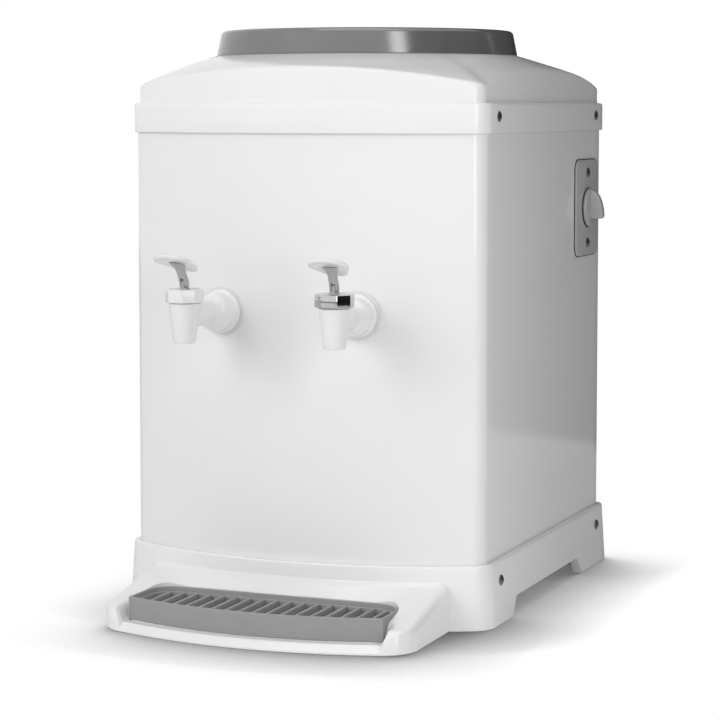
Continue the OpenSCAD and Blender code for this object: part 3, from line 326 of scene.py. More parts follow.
finishes = {
    "white_plastic": makeFinish("whiteMoulding", (0.83, 0.83, 0.83), gloss=0.15, spread=0.05,
                                grain=700, height=0.02, specular=0.4),
    "white_sheet": makeFinish("whiteEnamel", (0.82, 0.82, 0.82), gloss=0.09, spread=0.03,
                              grain=1100, height=0.01, specular=0.35),
    "collar_grey": makeFinish("collarSatin", (0.2, 0.2, 0.205), drift=0.12, driftScale=60, gloss=0.15,
                              spread=0.05, grain=1800, height=0.03, metallic=0.35),
    "tray_grey": makeFinish("trayMatt", (0.3, 0.3, 0.3), drift=0.14, driftScale=45, gloss=0.55,
                            grain=900, height=0.12),
    # knob_grey: a darker grey for the knob, lever stems and plungers, painted shade on parts of white or pale
    # grey plastic
    "knob_grey": makeFinish("knobPaintedShade", (0.44, 0.44, 0.44), gloss=0.4, grain=1200, height=0.06),
    "plate_grey": makeFinish("plateSatin", (0.47, 0.47, 0.47), gloss=0.42, grain=1200, height=0.06),
    "chrome": makeFinish("ringChrome", (0.57, 0.57, 0.58), drift=0.02, gloss=0.07, spread=0.05, grain=400,
                         height=0.01, metallic=1),
    "steel": makeFinish("screwSteel", (0.55, 0.55, 0.56), drift=0.15, driftScale=200, gloss=0.3, spread=0.2,
                        grain=2500, height=0.08, metallic=1),
    "copper": makeFinish("copperTube", (0.72, 0.37, 0.22), drift=0.2, driftScale=40, gloss=0.34, spread=0.2,
                         grain=800, height=0.08, metallic=1),
    "black_paint": makeFinish("blackEnamel", (0.02, 0.02, 0.02), drift=0.2, gloss=0.3, grain=600, height=0.1),
    "black_plastic": makeFinish("blackMoulding", (0.03, 0.03, 0.03), drift=0.2, gloss=0.5,
                                grain=900, height=0.1),
    "black_rubber": makeFinish("blackRubber", (0.025, 0.025, 0.025), drift=0.3, gloss=0.75, grain=1500,
                               height=0.2),
    "pale_rubber": makeFinish("paleSilicone", (0.72, 0.72, 0.71), gloss=0.55, grain=900, height=0.08),
    "foam": makeFinish("paleFoam", (0.78, 0.74, 0.62), drift=0.25, driftScale=70, gloss=0.85, spread=0.1,
                       grain=350, height=0.6),
}
print("finishes made:", len(finishes))

# cabinet plan: bowed front, round corners
plan = {"width": 300, "depth": 352, "bow": 320, "corner": 14, "rear": 6, "leastR": 0.5}
planSteps = {"rear": 6, "straight": 24, "corner": 9, "bow": 44}
halfW = plan["width"] / 2
backY = plan["depth"] / 2
bowY = plan["bow"] - backY
cornerX = halfW - plan["corner"]
cornerY = bowY - math.sqrt((plan["bow"] - plan["corner"]) ** 2 - cornerX ** 2)
bowEnd = math.degrees(math.atan2(cornerY - bowY, cornerX))


# from the left rear corner round the front to the right rear corner, grown by a given amount
def cabinetPath(grow=0):
    n = planSteps
    r = max(plan["rear"] + grow, plan["leastR"])
    x, y, out = halfW + grow - r, backY + grow - r, plan["corner"] + grow
    path = arcPoints(-x, y, r, 90, 180, n["rear"])
    path += linePoints((-halfW - grow, y), (-halfW - grow, cornerY), n["straight"])[1:]
    path += arcPoints(-cornerX, cornerY, out, 180, 180 - bowEnd, n["corner"])[1:]
    path += arcPoints(0, bowY, plan["bow"] + grow, -180 - bowEnd, bowEnd, n["bow"])[1:]
    path += arcPoints(cornerX, cornerY, out, bowEnd, 0, n["corner"])[1:]
    path += linePoints((halfW + grow, cornerY), (halfW + grow, y), n["straight"])[1:]
    path += arcPoints(x, y, r, 0, 90, n["rear"])[1:]
    return path


# the whole outline, closed along the back
def cabinetLoop(grow):
    x = halfW + grow - max(plan["rear"] + grow, plan["leastR"])
    back = linePoints((x, backY + grow), (-x, backY + grow), planSteps["straight"])
    return cabinetPath(grow) + back[1:-1]


def cabinetRing(grow, z):
    return [spot(x, y, z) for x, y in cabinetLoop(grow)]


# wrap panel: one bent sheet with flanges at the back
panel = {"low": 20, "high": 404.5, "sheet": 1, "flange": 18}


def makePanel():
    inner = halfW - plan["rear"] - panel["flange"]
    path = [(-inner, backY)] + cabinetPath() + [(inner, backY)]
    rings = [[spot(x, y, z) for x, y in path] for z in (panel["low"], panel["high"])]
    piece = loftPiece("wrapPanel", rings, openPath=True)
    applyModifier(piece, "SOLIDIFY", thickness=panel["sheet"] * mm, offset=-1)
    return finishPiece(piece, finishes["white_sheet"], "cabinet", "white_sheet", "wrap_panel")


# top cover: band over the sheet, arched walls, and a soft hip up to the collar's seat
cover = {
    "low": 384, "bandHigh": 407.5, "out": 2.8, "rounding": 2, "wallIn": -2, "fillet": 1.6,
    "archMid": {"front": 435.5, "side": 435, "back": 433}, "archCorner": 421, "crease": 3,
    "frontBlend": (20, -6), "backBlend": (-10, -3), "acrossPower": 2.2, "alongPower": 2.6,
    "seat": 446.6, "seatR": 125.5, "holeR": 113.8, "axisY": -7, "wall": 3, "swell": 0.35,
    "lap": 0.4, "lapUp": 6, "wallUp": 4, "creaseSpan": 1.3, "creaseMost": 0.45, "creaseSteps": 6,
    "slopeSteps": 8, "hubDeep": 8, "hubWall": 2,
}


# height of the crease over a point of the outline: an arch on each side that meets at the corners
def creaseHeight(x, y):
    mid = cover["archMid"]
    frontness = smoothstep(*[cornerY + d for d in cover["frontBlend"]], y)
    backness = smoothstep(*[backY + d for d in cover["backBlend"]], y)
    across = 1 - (abs(x) / halfW) ** cover["acrossPower"]
    along = 1 - (abs(2 * (y - cornerY) / (backY - cornerY) - 1)) ** cover["alongPower"]
    high = lerp(mid["side"], mid["front"], frontness)
    high = lerp(high, mid["back"], backness)
    rise = lerp(along, across, max(frontness, backness))
    return lerp(cover["archCorner"], high, max(0, rise))


def makeCover():
    c = cover
    rings = [cabinetRing(g, z) for g, z in roundCorners([
        (c["lap"], c["low"] + c["lapUp"]), (c["lap"], c["low"], 0.4), (c["out"], c["low"], 0.6),
        (c["out"], c["bandHigh"], c["rounding"]), (c["wallIn"], c["bandHigh"], c["fillet"]),
        (c["wallIn"], c["bandHigh"] + c["wallUp"]),
    ])]
    wall = cabinetLoop(c["wallIn"])
    axis = Vector((0, c["axisY"]))
    peaks = [creaseHeight(x, y) for x, y in wall]

    # height on the slope between the crease (0) and the seat (1)
    def slope(peak, t):
        return peak + (c["seat"] - peak) * (t + c["swell"] * t * (1 - t))

    def towardsSeat(p, t):
        out = Vector(p) - axis
        seat = axis + out.normalized() * c["seatR"]
        return Vector(p).lerp(seat, t)

    # part of the slope that the round crease takes up
    def creaseShare(p):
        reach = (Vector(p) - axis).length - c["seatR"]
        return min(c["creaseMost"], c["creaseSpan"] * c["crease"] / reach)

    for k in range(c["creaseSteps"] + 1):
        t = k / c["creaseSteps"]
        ring = []
        for p, peak in zip(wall, peaks):
            share = creaseShare(p)
            low = Vector((p[0], p[1], peak - c["crease"]))
            inner = towardsSeat(p, share)
            high = Vector((inner.x, inner.y, slope(peak, share)))
            top = Vector((p[0], p[1], slope(peak, 0)))
            place = low.lerp(top, t).lerp(top.lerp(high, t), t)
            ring.append(spot(*place))
        rings.append(ring)
    for k in range(1, c["slopeSteps"] + 1):
        ring = []
        for p, peak in zip(wall, peaks):
            share = lerp(creaseShare(p), 1, k / c["slopeSteps"])
            place = towardsSeat(p, share)
            ring.append(spot(place.x, place.y, slope(peak, share)))
        rings.append(ring)

    def roundRing(radius, z):
        ring = []
        for p in wall:
            place = axis + (Vector(p) - axis).normalized() * radius
            ring.append(spot(place.x, place.y, z))
        return ring

    rings.append(roundRing(c["holeR"], c["seat"]))
    rings.append(roundRing(c["holeR"], c["seat"] - c["hubDeep"]))
    rings.append(roundRing(c["seatR"] + c["hubWall"], c["seat"] - c["hubDeep"]))
    rings.append(cabinetRing(c["wallIn"] - c["wall"], c["bandHigh"]))
    rings.append(cabinetRing(c["wallIn"] - c["wall"], c["bandHigh"] - c["wall"]))
    rings.append(cabinetRing(c["lap"], c["bandHigh"] - c["wall"]))
    rings.append(rings[0])
    piece = loftPiece("topCover", rings)
    return finishPiece(piece, finishes["white_plastic"], "cabinet", "white_plastic", "top_cover", angle=50)


# base: flared wall with a round rim, feet between side arches, and the drip shelf in front
base = {
    "high": 50, "footOut": 8, "rimOut": 5, "deck": 17, "deckTop": 20, "gap": 0.3, "rimRound": 1.6,
    "skirtIn": 0, "archHigh": 15.5, "archFront": -89, "archRear": 101, "archSlant": 12, "archPast": 2,
    "archIn": 12, "archOut": 20, "foot": 44, "footR": 6, "footUp": 1, "footSoft": 0.8, "footPast": 5,
    "frontFootIn": 8,
}
shelf = {
    "width": 258, "front": -270, "bow": 335, "corner": 26, "wallZ": 36, "noseZ": 18.5, "nose": 8,
    "lipZ": 7, "lipEdge": 2, "edge": 7, "mouthIn": 107.5, "mouthOut": 113, "mouthFrom": -228, "mouthTo": -240,
    "pocketZ": 6.8, "wallOut": 3, "noseY": -236, "armFrom": 78, "armTo": 108, "fillet": 2.5, "filletOut": 4,
    "footEdge": 0.8, "skirt": 13, "skirtZ": 8,
    "shares": (0, 0.03, 0.08, 0.14, 0.2, 0.27, 0.34, 0.42, 0.5, 0.58, 0.66, 0.74, 0.8, 0.85, 0.89, 0.925,
               0.95, 0.97, 0.985, 0.995, 1),
}
tray = {
    "width": 212, "back": -190, "front": -258, "bow": 315, "corner": 22, "low": 7.3, "high": 25.5,
    "wall": 2.2, "gap": 0.4, "underIn": 4, "floorIn": 8,
}


# outline of the drip tray, starting at the middle of its front
def trayLoop(grow=0):
    halfT = tray["width"] / 2 + grow
    r = tray["corner"]
    centreY = tray["front"] + tray["bow"]
    bow = tray["bow"] + grow
    reach = math.degrees(math.asin(halfT / bow))
    endY = centreY - math.sqrt(bow ** 2 - halfT ** 2)
    sideY = tray["back"] - r
    right = arcPoints(0, centreY, bow, -90, -90 + reach, 32)
    right += linePoints((halfT, endY), (halfT, sideY), 10)[1:]
    right += arcPoints(halfT - r - grow, sideY, r + grow, 0, 90, 14)[1:]
    right += linePoints((halfT - r - grow, tray["back"] + grow), (0, tray["back"] + grow), 24)[1:]
    left = [(-x, y) for x, y in reversed(right[1:-1])]
    return right + left


# outline of the shelf with as many points: front bow, round corners, sides, and a back inside the base's wall
def shelfLoop(inset=0):
    halfS = shelf["width"] / 2 - inset
    bow = shelf["bow"] - inset
    centreY = shelf["front"] + shelf["bow"]
    r = shelf["corner"]
    cx = halfS - r
    cy = centreY - math.sqrt((bow - r) ** 2 - cx ** 2)
    turn = math.degrees(math.atan2(cy - centreY, cx))
    wallR = plan["bow"] + shelf["wallOut"]
    wallY = bowY - math.sqrt(wallR ** 2 - halfS ** 2)
    wallTurn = math.degrees(math.asin(halfS / wallR))
    right = arcPoints(0, centreY, bow, -90, turn, 32)
    right += arcPoints(cx, cy, r, turn, 0, 10)[1:]
    right += linePoints((halfS, cy), (halfS, wallY), 14)[1:]
    right += arcPoints(0, bowY, wallR, -90 + wallTurn, -90, 24)[1:]
    left = [(-x, y) for x, y in reversed(right[1:-1])]
    return right + left


# top of the shelf: arms and ramp slope from the wall, a lip with a slope in front, round noses between them
def shelfHeight(x, y):
    s = shelf
    side = abs(x)
    flare = base["footOut"] - base["rimOut"]
    wallR = plan["bow"] + base["footOut"] - flare * s["wallZ"] / base["high"]
    wallY = bowY - math.sqrt(wallR ** 2 - min(side, s["width"] / 2) ** 2)
    fromWall = max(0, wallY - y)
    edgeIn = max(0, s["bow"] - math.hypot(x, y - s["front"] - s["bow"]))
    arm = s["wallZ"] - (s["wallZ"] - s["noseZ"]) * min(1, fromWall / (wallY - s["noseY"]))
    ramp = s["wallZ"] - (s["wallZ"] - tray["high"]) * min(1, fromWall / (wallY - tray["back"]))
    high = lerp(ramp, arm, smoothstep(s["armFrom"], s["armTo"], side))
    high += s["fillet"] * (1 - min(1, fromWall / s["filletOut"])) ** 2
    if edgeIn < s["nose"]:
        high -= s["nose"] - math.sqrt(s["nose"] ** 2 - (s["nose"] - edgeIn) ** 2)
    sideIn = max(0, s["width"] / 2 - side)
    if sideIn < s["edge"]:
        high -= s["edge"] - math.sqrt(s["edge"] ** 2 - (s["edge"] - sideIn) ** 2)
    lip = min(s["lipZ"], s["lipEdge"] + edgeIn)
    between = 1 - smoothstep(s["mouthIn"], s["mouthOut"], side)
    return lerp(high, lip, between * smoothstep(s["mouthFrom"], s["mouthTo"], y))


def makeShelf():
    s = shelf
    inner, outer = trayLoop(tray["gap"]), shelfLoop()
    rings = [[spot(x, y, s["pocketZ"]) for x, y in inner]]
    for share in s["shares"]:
        ring = []
        for a, b in zip(inner, outer):
            x, y = lerp(a[0], b[0], share), lerp(a[1], b[1], share)
            ring.append(spot(x, y, shelfHeight(x, y)))
        rings.append(ring)
    for inset, z in ((0, s["footEdge"]), (s["footEdge"], 0), (s["skirt"], 0), (s["skirt"], s["skirtZ"])):
        rings.append([spot(x, y, z) for x, y in shelfLoop(inset)])
    return loftPiece("dripShelf", rings, fillEnds=True)


def makeBase():
    b = base
    rings = [cabinetRing(g, z) for g, z in roundCorners([
        (b["gap"], b["deckTop"]), (b["gap"], b["high"], 0.5), (b["rimOut"], b["high"], b["rimRound"]),
        (b["footOut"], 0, 1), (b["skirtIn"], 0, 0.6), (b["skirtIn"], b["deck"]),
    ])]
    piece = loftPiece("basePan", rings, fillEnds=True)

    # arches through both side walls
    past = b["archPast"]
    outline = roundCorners([
        (b["archFront"] - past, -past), (b["archFront"] + b["archSlant"], b["archHigh"], 3),
        (b["archRear"] - b["archSlant"], b["archHigh"], 3), (b["archRear"] + past, -past),
    ], closed=True)
    for side in (-1, 1):
        ends = (halfW - b["archIn"], halfW + b["archOut"])
        rings = [[spot(side * x, y, z) for y, z in outline] for x in ends]
        cutter = loftPiece("archCut", rings, fillEnds=True)
        applyModifier(piece, "BOOLEAN", operation="DIFFERENCE", solver="EXACT", object=cutter)
        bpy.data.objects.remove(cutter)

    # four feet under the deck
    feet = []
    half, r = b["foot"] / 2, b["footR"]
    square = roundCorners([(-half, -half, r), (half, -half, r), (half, half, r), (-half, half, r)], True)
    x = halfW + b["footPast"] - half
    frontY = cornerY - plan["corner"] + half + b["frontFootIn"]
    rearY = backY + b["footPast"] - half
    for side in (-1, 1):
        for y in (frontY, rearY):
            foot = slabPiece("foot", square, 0, b["deck"] + b["footUp"], b["footSoft"])
            feet.append(movePiece(foot, spot(side * x, y, 0)))
    piece = joinPieces(piece, makeShelf(), *feet)
    return finishPiece(piece, finishes["white_plastic"], "cabinet", "white_plastic", "base_pan", angle=40)


# drip tray and its slatted grille
grille = {"drop": 3.5, "slatHigh": 6, "slats": 17, "slat": 2.6, "frame": 2, "gap": 0.3, "foot": 9.8}


def makeTray():
    t = tray
    profile = roundCorners([
        (-t["underIn"], t["low"]), (0, t["low"], 1.2), (0, t["high"], 0.8), (-t["wall"], t["high"], 0.8),
        (-t["wall"], t["low"] + t["wall"], 1.5), (-t["floorIn"], t["low"] + t["wall"]),
    ])
    rings = [[spot(x, y, z) for x, y in trayLoop(grow)] for grow, z in profile]
    piece = loftPiece("dripTray", rings, fillEnds=True)
    return finishPiece(piece, finishes["tray_grey"], "tray", "tray_grey", "drip_tray", angle=40)


def makeGrille():
    g = grille
    top = tray["high"] - g["drop"]
    edge = -tray["wall"] - g["gap"]
    profile = roundCorners([
        (edge, g["foot"]), (edge, top, 0.6), (edge - g["frame"], top, 0.6), (edge - g["frame"], g["foot"]),
        (edge, g["foot"]),
    ])
    piece = loftPiece("dripGrille", [[spot(x, y, z) for x, y in trayLoop(grow)] for grow, z in profile])
    span = tray["width"] - 2 * tray["wall"]
    pitch = span / (g["slats"] + 1)
    inside = trayLoop(edge - g["frame"] / 2)
    slats = []
    for i in range(1, g["slats"] + 1):
        x = i * pitch - span / 2
        near = sorted(inside, key=lambda p: abs(p[0] - x))[:4]
        front, back = min(p[1] for p in near), max(p[1] for p in near)
        section = roundCorners([
            (-g["slat"] / 2, top - g["slatHigh"]), (-g["slat"] / 2, top, 1), (g["slat"] / 2, top, 1),
            (g["slat"] / 2, top - g["slatHigh"]),
        ])
        rings = [[spot(x + dx, y, z) for dx, z in section] for y in (front, back)]
        slats.append(loftPiece("slat", rings, fillEnds=True))
    piece = joinPieces(piece, *slats)
    return finishPiece(piece, finishes["tray_grey"], "grille", "tray_grey", "drip_grille", angle=40)


# bottle collar: leaning ring with a round lip and a spigot into the cover
collar = {"high": 467, "topR": 121.5, "lip": 10, "lipIn": 104.5, "lipUp": 2, "spigotR": 113.5, "spigotT": 3.5,
          "spigotDeep": 10, "steps": 180}


def makeCollar():
    c = collar
    seat = cover["seat"]
    low, boreR = seat - c["spigotDeep"], c["spigotR"] - c["spigotT"]
    profile = roundCorners([
        (c["spigotR"], seat), (cover["seatR"], seat, 0.6), (c["topR"], c["high"], 4),
        (c["topR"] - c["lip"], c["high"], 4.5), (c["lipIn"], seat + c["lipUp"], 1), (c["lipIn"], seat, 0.5),
        (boreR, seat, 0.5), (boreR, low, 0.5), (c["spigotR"], low, 0.5), (c["spigotR"], seat),
    ], steps=6)
    piece = turnPiece("bottleCollar", profile, c["steps"])
    movePiece(piece, spot(0, cover["axisY"], 0))
    return finishPiece(piece, finishes["collar_grey"], "cabinet", "collar_grey", "bottle_collar", angle=40)


# taps: each is modelled once on its own axis and copied to its side
tap = {
    "wallX": 57, "reach": 57, "turn": 5.3, "z": 244, "spoutR": 8.2, "beadOut": 0.5, "beadUp": 2.6,
    "barrelR": 12.4, "barrelTop": 10.7, "drop": 20.4, "bore": 6.2, "chamber": -6,
    "neckR": 9.4, "neckFrom": 4, "neckEnd": 36, "domeR": 15.2, "domeFrom": 41.5, "bellR": 17.2,
    "bellT": 2.6, "gasket": 1.8, "voxel": 0.5,
}
nut = {
    "low": 11.1, "high": 21.5, "r": 15, "flatR": 14.1, "flats": 8, "rounding": 1.5, "bore": 11.8, "lidT": 2.8,
    "hole": 4.6, "dish": 1.3, "rim": 3.4, "holeEdge": 1.2, "seam": 1.5, "points": 128,
}
lever = {
    "frontZ": 50, "rearZ": 36.5, "swell": 1.2, "camber": 0.006, "thick": 3.6, "wide": 15.5, "narrow": 9.3,
    "front": -30, "rear": 12, "middle": -12, "pinZ": 25.8, "slot": 1.6, "slotTop": 29.6,
    # share of the outline and drop from the top, round the paddle's edge
    "edge": ((0.08, 0), (0.35, 0), (0.62, 0), (0.84, 0), (0.93, 0.15), (0.975, 0.6), (0.995, 1.3)),
    # height, place along the tap, half width and half depth of the stem
    "stem": ((22.8, 0, 3.4, 1.2), (23.5, 0, 3.6, 2.4), (25.8, 0, 3.6, 3), (30, -2, 3.5, 2.6),
             (35, -5, 3.4, 2.4), (39, -7.4, 4.2, 3.2), (42, -9.2, 6.4, 5.4)),
    "stemRound": 0.6, "slotPast": 2,
}
plunger = {
    "rodR": 4, "flangeR": 7.6, "flangeLow": 5, "flangeHigh": 6.6, "top": 22.4, "eyeR": 2.9, "eyeT": 2.6,
    "eyeSunk": 1,
}
pin = {"r": 1.2, "half": 3.7, "rounding": 0.4}


def tapPlace(side):
    wallY = bowY - math.sqrt(plan["bow"] ** 2 - tap["wallX"] ** 2)
    x = tap["wallX"] + tap["reach"] * math.sin(math.radians(tap["turn"]))
    y = wallY - tap["reach"] * math.cos(math.radians(tap["turn"]))
    return spot(side * x, y, tap["z"]), (0, 0, side * tap["turn"])


def makeTapBody():
    t = tap
    spout = turnPiece("tapBody", roundCorners([
        (0, t["chamber"]), (t["bore"], t["chamber"], 1), (t["bore"], -t["drop"], 0.4),
        (t["spoutR"], -t["drop"], 0.9), (t["spoutR"] + t["beadOut"], t["beadUp"] - t["drop"], 0.6),
        (t["barrelR"], t["barrelTop"], 0.5), (0, t["barrelTop"]),
    ]))
    foot = t["reach"] - t["gasket"]
    bell = turnPiece("tapBell", roundCorners([
        (0, t["neckFrom"]), (t["neckR"], t["neckFrom"]), (t["neckR"], t["neckEnd"], 7),
        (t["domeR"], t["domeFrom"], 8),
        (t["domeR"], foot - t["bellT"], 0.5), (t["bellR"], foot - t["bellT"], 0.9), (t["bellR"], foot, 0.3),
        (0, foot),
    ], steps=8))
    movePiece(bell, (0, 0, 0), (-90, 0, 0))
    body = joinPieces(spout, bell)
    applyModifier(body, "REMESH", mode="VOXEL", voxel_size=t["voxel"] * mm)
    applyModifier(body, "SMOOTH", factor=0.5, iterations=6)
    return body


# ring nut with soft flats and a dished top
def makeTapRing():
    n = nut
    lid = n["high"] - n["dish"]
    profile = roundCorners([
        (n["bore"], n["low"] + n["seam"]), (n["bore"], n["low"], 0.3), (n["r"], n["low"], 0.9),
        (n["r"], n["high"], n["rounding"]), (n["r"] - n["rim"], n["high"], 1),
        (n["hole"] + n["holeEdge"], lid, 0.8),
        (n["hole"], lid, 0.4), (n["hole"], n["high"] - n["lidT"]), (n["bore"], n["high"] - n["lidT"]),
        (n["bore"], n["low"] + n["seam"]),
    ], steps=4)
    rings = []
    wedge = 2 * math.pi / n["flats"]
    for r, z in profile:
        loop = []
        share = smoothstep(n["bore"], n["r"] - 1, r)
        for i in range(n["points"]):
            a = 2 * math.pi * i / n["points"]
            facet = (a + wedge / 2) % wedge - wedge / 2
            flat = min(1, n["flatR"] / math.cos(facet) / n["r"])
            out = r * lerp(1, flat, share)
            loop.append(Vector((out * math.cos(a), out * math.sin(a), z)) * mm)
        rings.append(loop)
    return loftPiece("tapRing", rings)


# lever: a thin tilted paddle on a slim stem, forked round the plunger's eye
def makeLever():
    v = lever
    y1, y2 = v["front"] + v["wide"], v["rear"] - v["narrow"]
    lean = math.degrees(math.asin((v["wide"] - v["narrow"]) / (y2 - y1)))
    outline = arcPoints(0, y1, v["wide"], 180 - lean, 360 + lean, 40)
    outline += arcPoints(0, y2, v["narrow"], lean, 180 - lean, 24)
    middle = Vector((0, v["middle"]))

    def topAt(y):
        along = (y - v["front"]) / (v["rear"] - v["front"])
        return lerp(v["frontZ"], v["rearZ"], along) + v["swell"] * 4 * along * (1 - along)

    t = v["thick"]
    steps = [*v["edge"], (1, t / 2)] + [(share, t - down) for share, down in reversed(v["edge"])]
    rings = []
    for share, down in steps:
        loop = []
        for p in outline:
            x, y = middle.lerp(Vector(p), share)
            loop.append(Vector((x, y, topAt(y) - down - v["camber"] * x * x)) * mm)
        rings.append(loop)
    paddle = loftPiece("lever", rings, fillEnds=True)

    rings = []
    for z, y, halfX, halfY in v["stem"]:
        corner = v["stemRound"] * min(halfX, halfY)
        loop = roundCorners([(-halfX, -halfY, corner), (halfX, -halfY, corner), (halfX, halfY, corner),
                             (-halfX, halfY, corner)], True)
        rings.append([Vector((px, y + py, z)) * mm for px, py in loop])
    stem = loftPiece("stem", rings, fillEnds=True)
    low, high = v["stem"][0][0] - v["slotPast"], v["slotTop"]
    deselectAll()
    bpy.ops.mesh.primitive_cube_add(size=mm)
    cutter = bpy.context.object
    cutter.scale = (2 * v["slot"], v["wide"], high - low)
    movePiece(cutter, Vector((0, 0, (low + high) / 2)) * mm)
    applyModifier(stem, "BOOLEAN", operation="DIFFERENCE", solver="EXACT", object=cutter)
    bpy.data.objects.remove(cutter)
    return paddle, stem


# plunger: a flanged rod with a flat eye for the pin
def makePlunger():
    p = plunger
    rod = turnPiece("plunger", roundCorners([
        (0, 0), (p["rodR"], 0, 0.5), (p["rodR"], p["flangeLow"]), (p["flangeR"], p["flangeLow"], 0.4),
        (p["flangeR"], p["flangeHigh"], 0.4), (p["rodR"], p["flangeHigh"]), (p["rodR"], p["top"], 0.6),
        (0, p["top"]),
    ]), 48)
    rise = lever["pinZ"] - p["top"] + p["eyeSunk"]
    outline = arcPoints(0, 0, p["eyeR"], 0, 180, 20) + [(-p["eyeR"], -rise), (p["eyeR"], -rise)]
    eye = slabPiece("eye", outline, -p["eyeT"] / 2, p["eyeT"] / 2, 0.3)
    movePiece(eye, (0, 0, lever["pinZ"] * mm), (90, 0, 90))
    return joinPieces(rod, eye)


def makePin():
    r, half, soft = pin["r"], pin["half"], pin["rounding"]
    profile = roundCorners([(0, -half), (r, -half, soft), (r, half, soft), (0, half)])
    piece = turnPiece("leverPin", profile, 32)
    return movePiece(piece, (0, 0, lever["pinZ"] * mm), (0, 90, 0))


def makeTaps():
    body, ringNut, rod, hinge = makeTapBody(), makeTapRing(), makePlunger(), makePin()
    paddle, stem = makeLever()
    for side, name in ((-1, "left"), (1, "right")):
        ringSlot = "white_plastic" if side < 0 else "chrome"
        for piece, title, owner, slot, node in (
            (body, "TapBody", "cabinet", "white_plastic", "_tap_body"),
            (ringNut, "TapRing", "cabinet", ringSlot, "_tap_ring"),
            (paddle, "Lever", name + "_lever", "white_plastic", "_lever"),
            (stem, "LeverStem", name + "_lever", "plate_grey", None),
            (rod, "Plunger", name + "_valve", "white_plastic", "_plunger"),
            (hinge, "LeverPin", name + "_valve", "steel", "_lever_pin"),
        ):
            placed = movePiece(copyPiece(piece, name + title), *tapPlace(side))
            # stems and plungers take the darker knob_grey finish: painted shade for the shadow under the
            # paddles
            finish = finishes["knob_grey"] if piece in (stem, rod) else finishes[slot]
            replaced = [name + node] if node else []
            finishPiece(placed, finish, owner, slot, *replaced, angle=40)
    for piece in (body, ringNut, paddle, stem, rod, hinge):
        bpy.data.objects.remove(piece)


# thermostat: plate on a black slab, and a knob with a fin grip over a black disc; slab and disc are painted
# shade for the dark lines round their edges
knob = {
    "y": 130, "z": 317, "plateT": 2, "plateW": 66, "plateH": 83, "plateR": 9, "plateSoft": 0.3,
    "gap": 0.3, "r": 16.5, "disc": 4, "discDrop": 0.6, "discIn": 3,
    "shadowSlabOut": 0.8, "shadowSlabT": 0.7, "footOut": 0.7, "shadowDiscT": 0.8,
    "finLow": 9.6, "finLong": 24.6, "finFoot": 4, "finHigh": 10.5, "finW": 8, "finRound": 2.6, "finSunk": 1,
    # share of the outline and distance in from the fin's side
    "finEdge": ((0.9, 0), (0.955, 0.25), (0.99, 0.8), (1, 1.6)), "finTurn": 6, "finPoints": 14,
}


def makePlate():
    k = knob
    # the black slab, a little larger than the plate, is painted shade for the dark line round the plate's
    # edge
    for name, out, high, slot in (("thermostatPlate", 0, k["plateT"], "plate_grey"),
                                  ("plateShadowSlab", k["shadowSlabOut"], k["shadowSlabT"], "black_rubber")):
        w, h, r = k["plateW"] / 2 + out, k["plateH"] / 2 + out, k["plateR"] + out
        outline = roundCorners([(-h, -w, r), (h, -w, r), (h, w, r), (-h, w, r)], True, steps=10)
        piece = slabPiece(name, outline, 0, high, k["plateSoft"] * high)
        movePiece(piece, spot(halfW, k["y"], k["z"]), (0, 90, 0))
        replaced = ["thermostat_plate"] if out == 0 else []
        finishPiece(piece, finishes[slot], "cabinet", slot, *replaced, angle=40)


# outline of the fin: a quarter ellipse that rises to a blunt lower end
def finOutline():
    k = knob
    low, foot = k["finLow"], k["finFoot"]
    arch = [(low + k["finLong"] * math.cos(a), foot + k["finHigh"] * math.sin(a))
            for a in (math.radians(180 - k["finTurn"] * i) for i in range(k["finPoints"]))]
    top = foot + k["finHigh"]
    blunt = roundCorners([arch[-1], (low, top, k["finRound"]), (low, k["finSunk"])], steps=6)[1:]
    return [(low - k["finLong"], k["finSunk"])] + arch + blunt


def makeKnob():
    k = knob
    place = spot(halfW + k["plateT"] + k["gap"], k["y"], k["z"])
    # a black disc a little wider than the knob, under it: painted shade for the dark crescent round the knob
    foot = turnPiece("knobShadowDisc", roundCorners([
        (0, 0), (k["r"] + k["footOut"], 0, 0.2), (k["r"] + k["footOut"], k["shadowDiscT"], 0.2), (0, k["shadowDiscT"]),
    ]))
    movePiece(foot, place, (0, 90, 0))
    finishPiece(foot, finishes["black_plastic"], "knob", "black_plastic", angle=40)

    disc = turnPiece("thermostatKnob", roundCorners([
        (0, k["shadowDiscT"]), (k["r"], k["shadowDiscT"], 0.3), (k["r"], k["disc"] - k["discDrop"], 1),
        (k["r"] - k["discIn"], k["disc"], 0.8), (0, k["disc"]),
    ]))
    half, sunk, edge = k["finW"] / 2, k["finSunk"], k["finEdge"]
    sections = [(share, x - half) for share, x in edge] + [(share, half - x) for share, x in reversed(edge)]
    rings = []
    for share, x in sections:
        rings.append([Vector((a * share, x, max(sunk, lerp(sunk, b, share)))) * mm for a, b in finOutline()])
    grip = loftPiece("grip", rings, fillEnds=True)
    piece = joinPieces(disc, grip)
    movePiece(piece, place, (0, 90, 0))
    # the white-plastic knob takes the darker knob_grey finish: painted shade
    finishPiece(piece, finishes["knob_grey"], "knob", "white_plastic", "thermostat_knob", angle=40)


makePanel()
makeCover()
print("cabinet made")
makeBase()
makeTray()
makeGrille()
print("base and drip tray made")
makeCollar()
makeTaps()
makePlate()
makeKnob()
print("collar, taps and thermostat made")

# CAD nodes that stay in view or inside take their slot's finish, the outer screws a darker one
outerScrews = ("cover_screws", "plate_screws", "base_screws")
darkScrew = makeFinish("screwDark", (0.2, 0.2, 0.2), drift=0.3, driftScale=900, gloss=0.3, spread=0.2,
                       grain=2500, height=0.1, metallic=0.9)
for name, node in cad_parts.items():
    for i, held in enumerate(node.data.materials):
        key = held.name.split(".")[0]
        if name in outerScrews:
            node.data.materials[i] = darkScrew
        elif key in finishes:
            node.data.materials[i] = finishes[key]
print("finishes put on the CAD nodes")
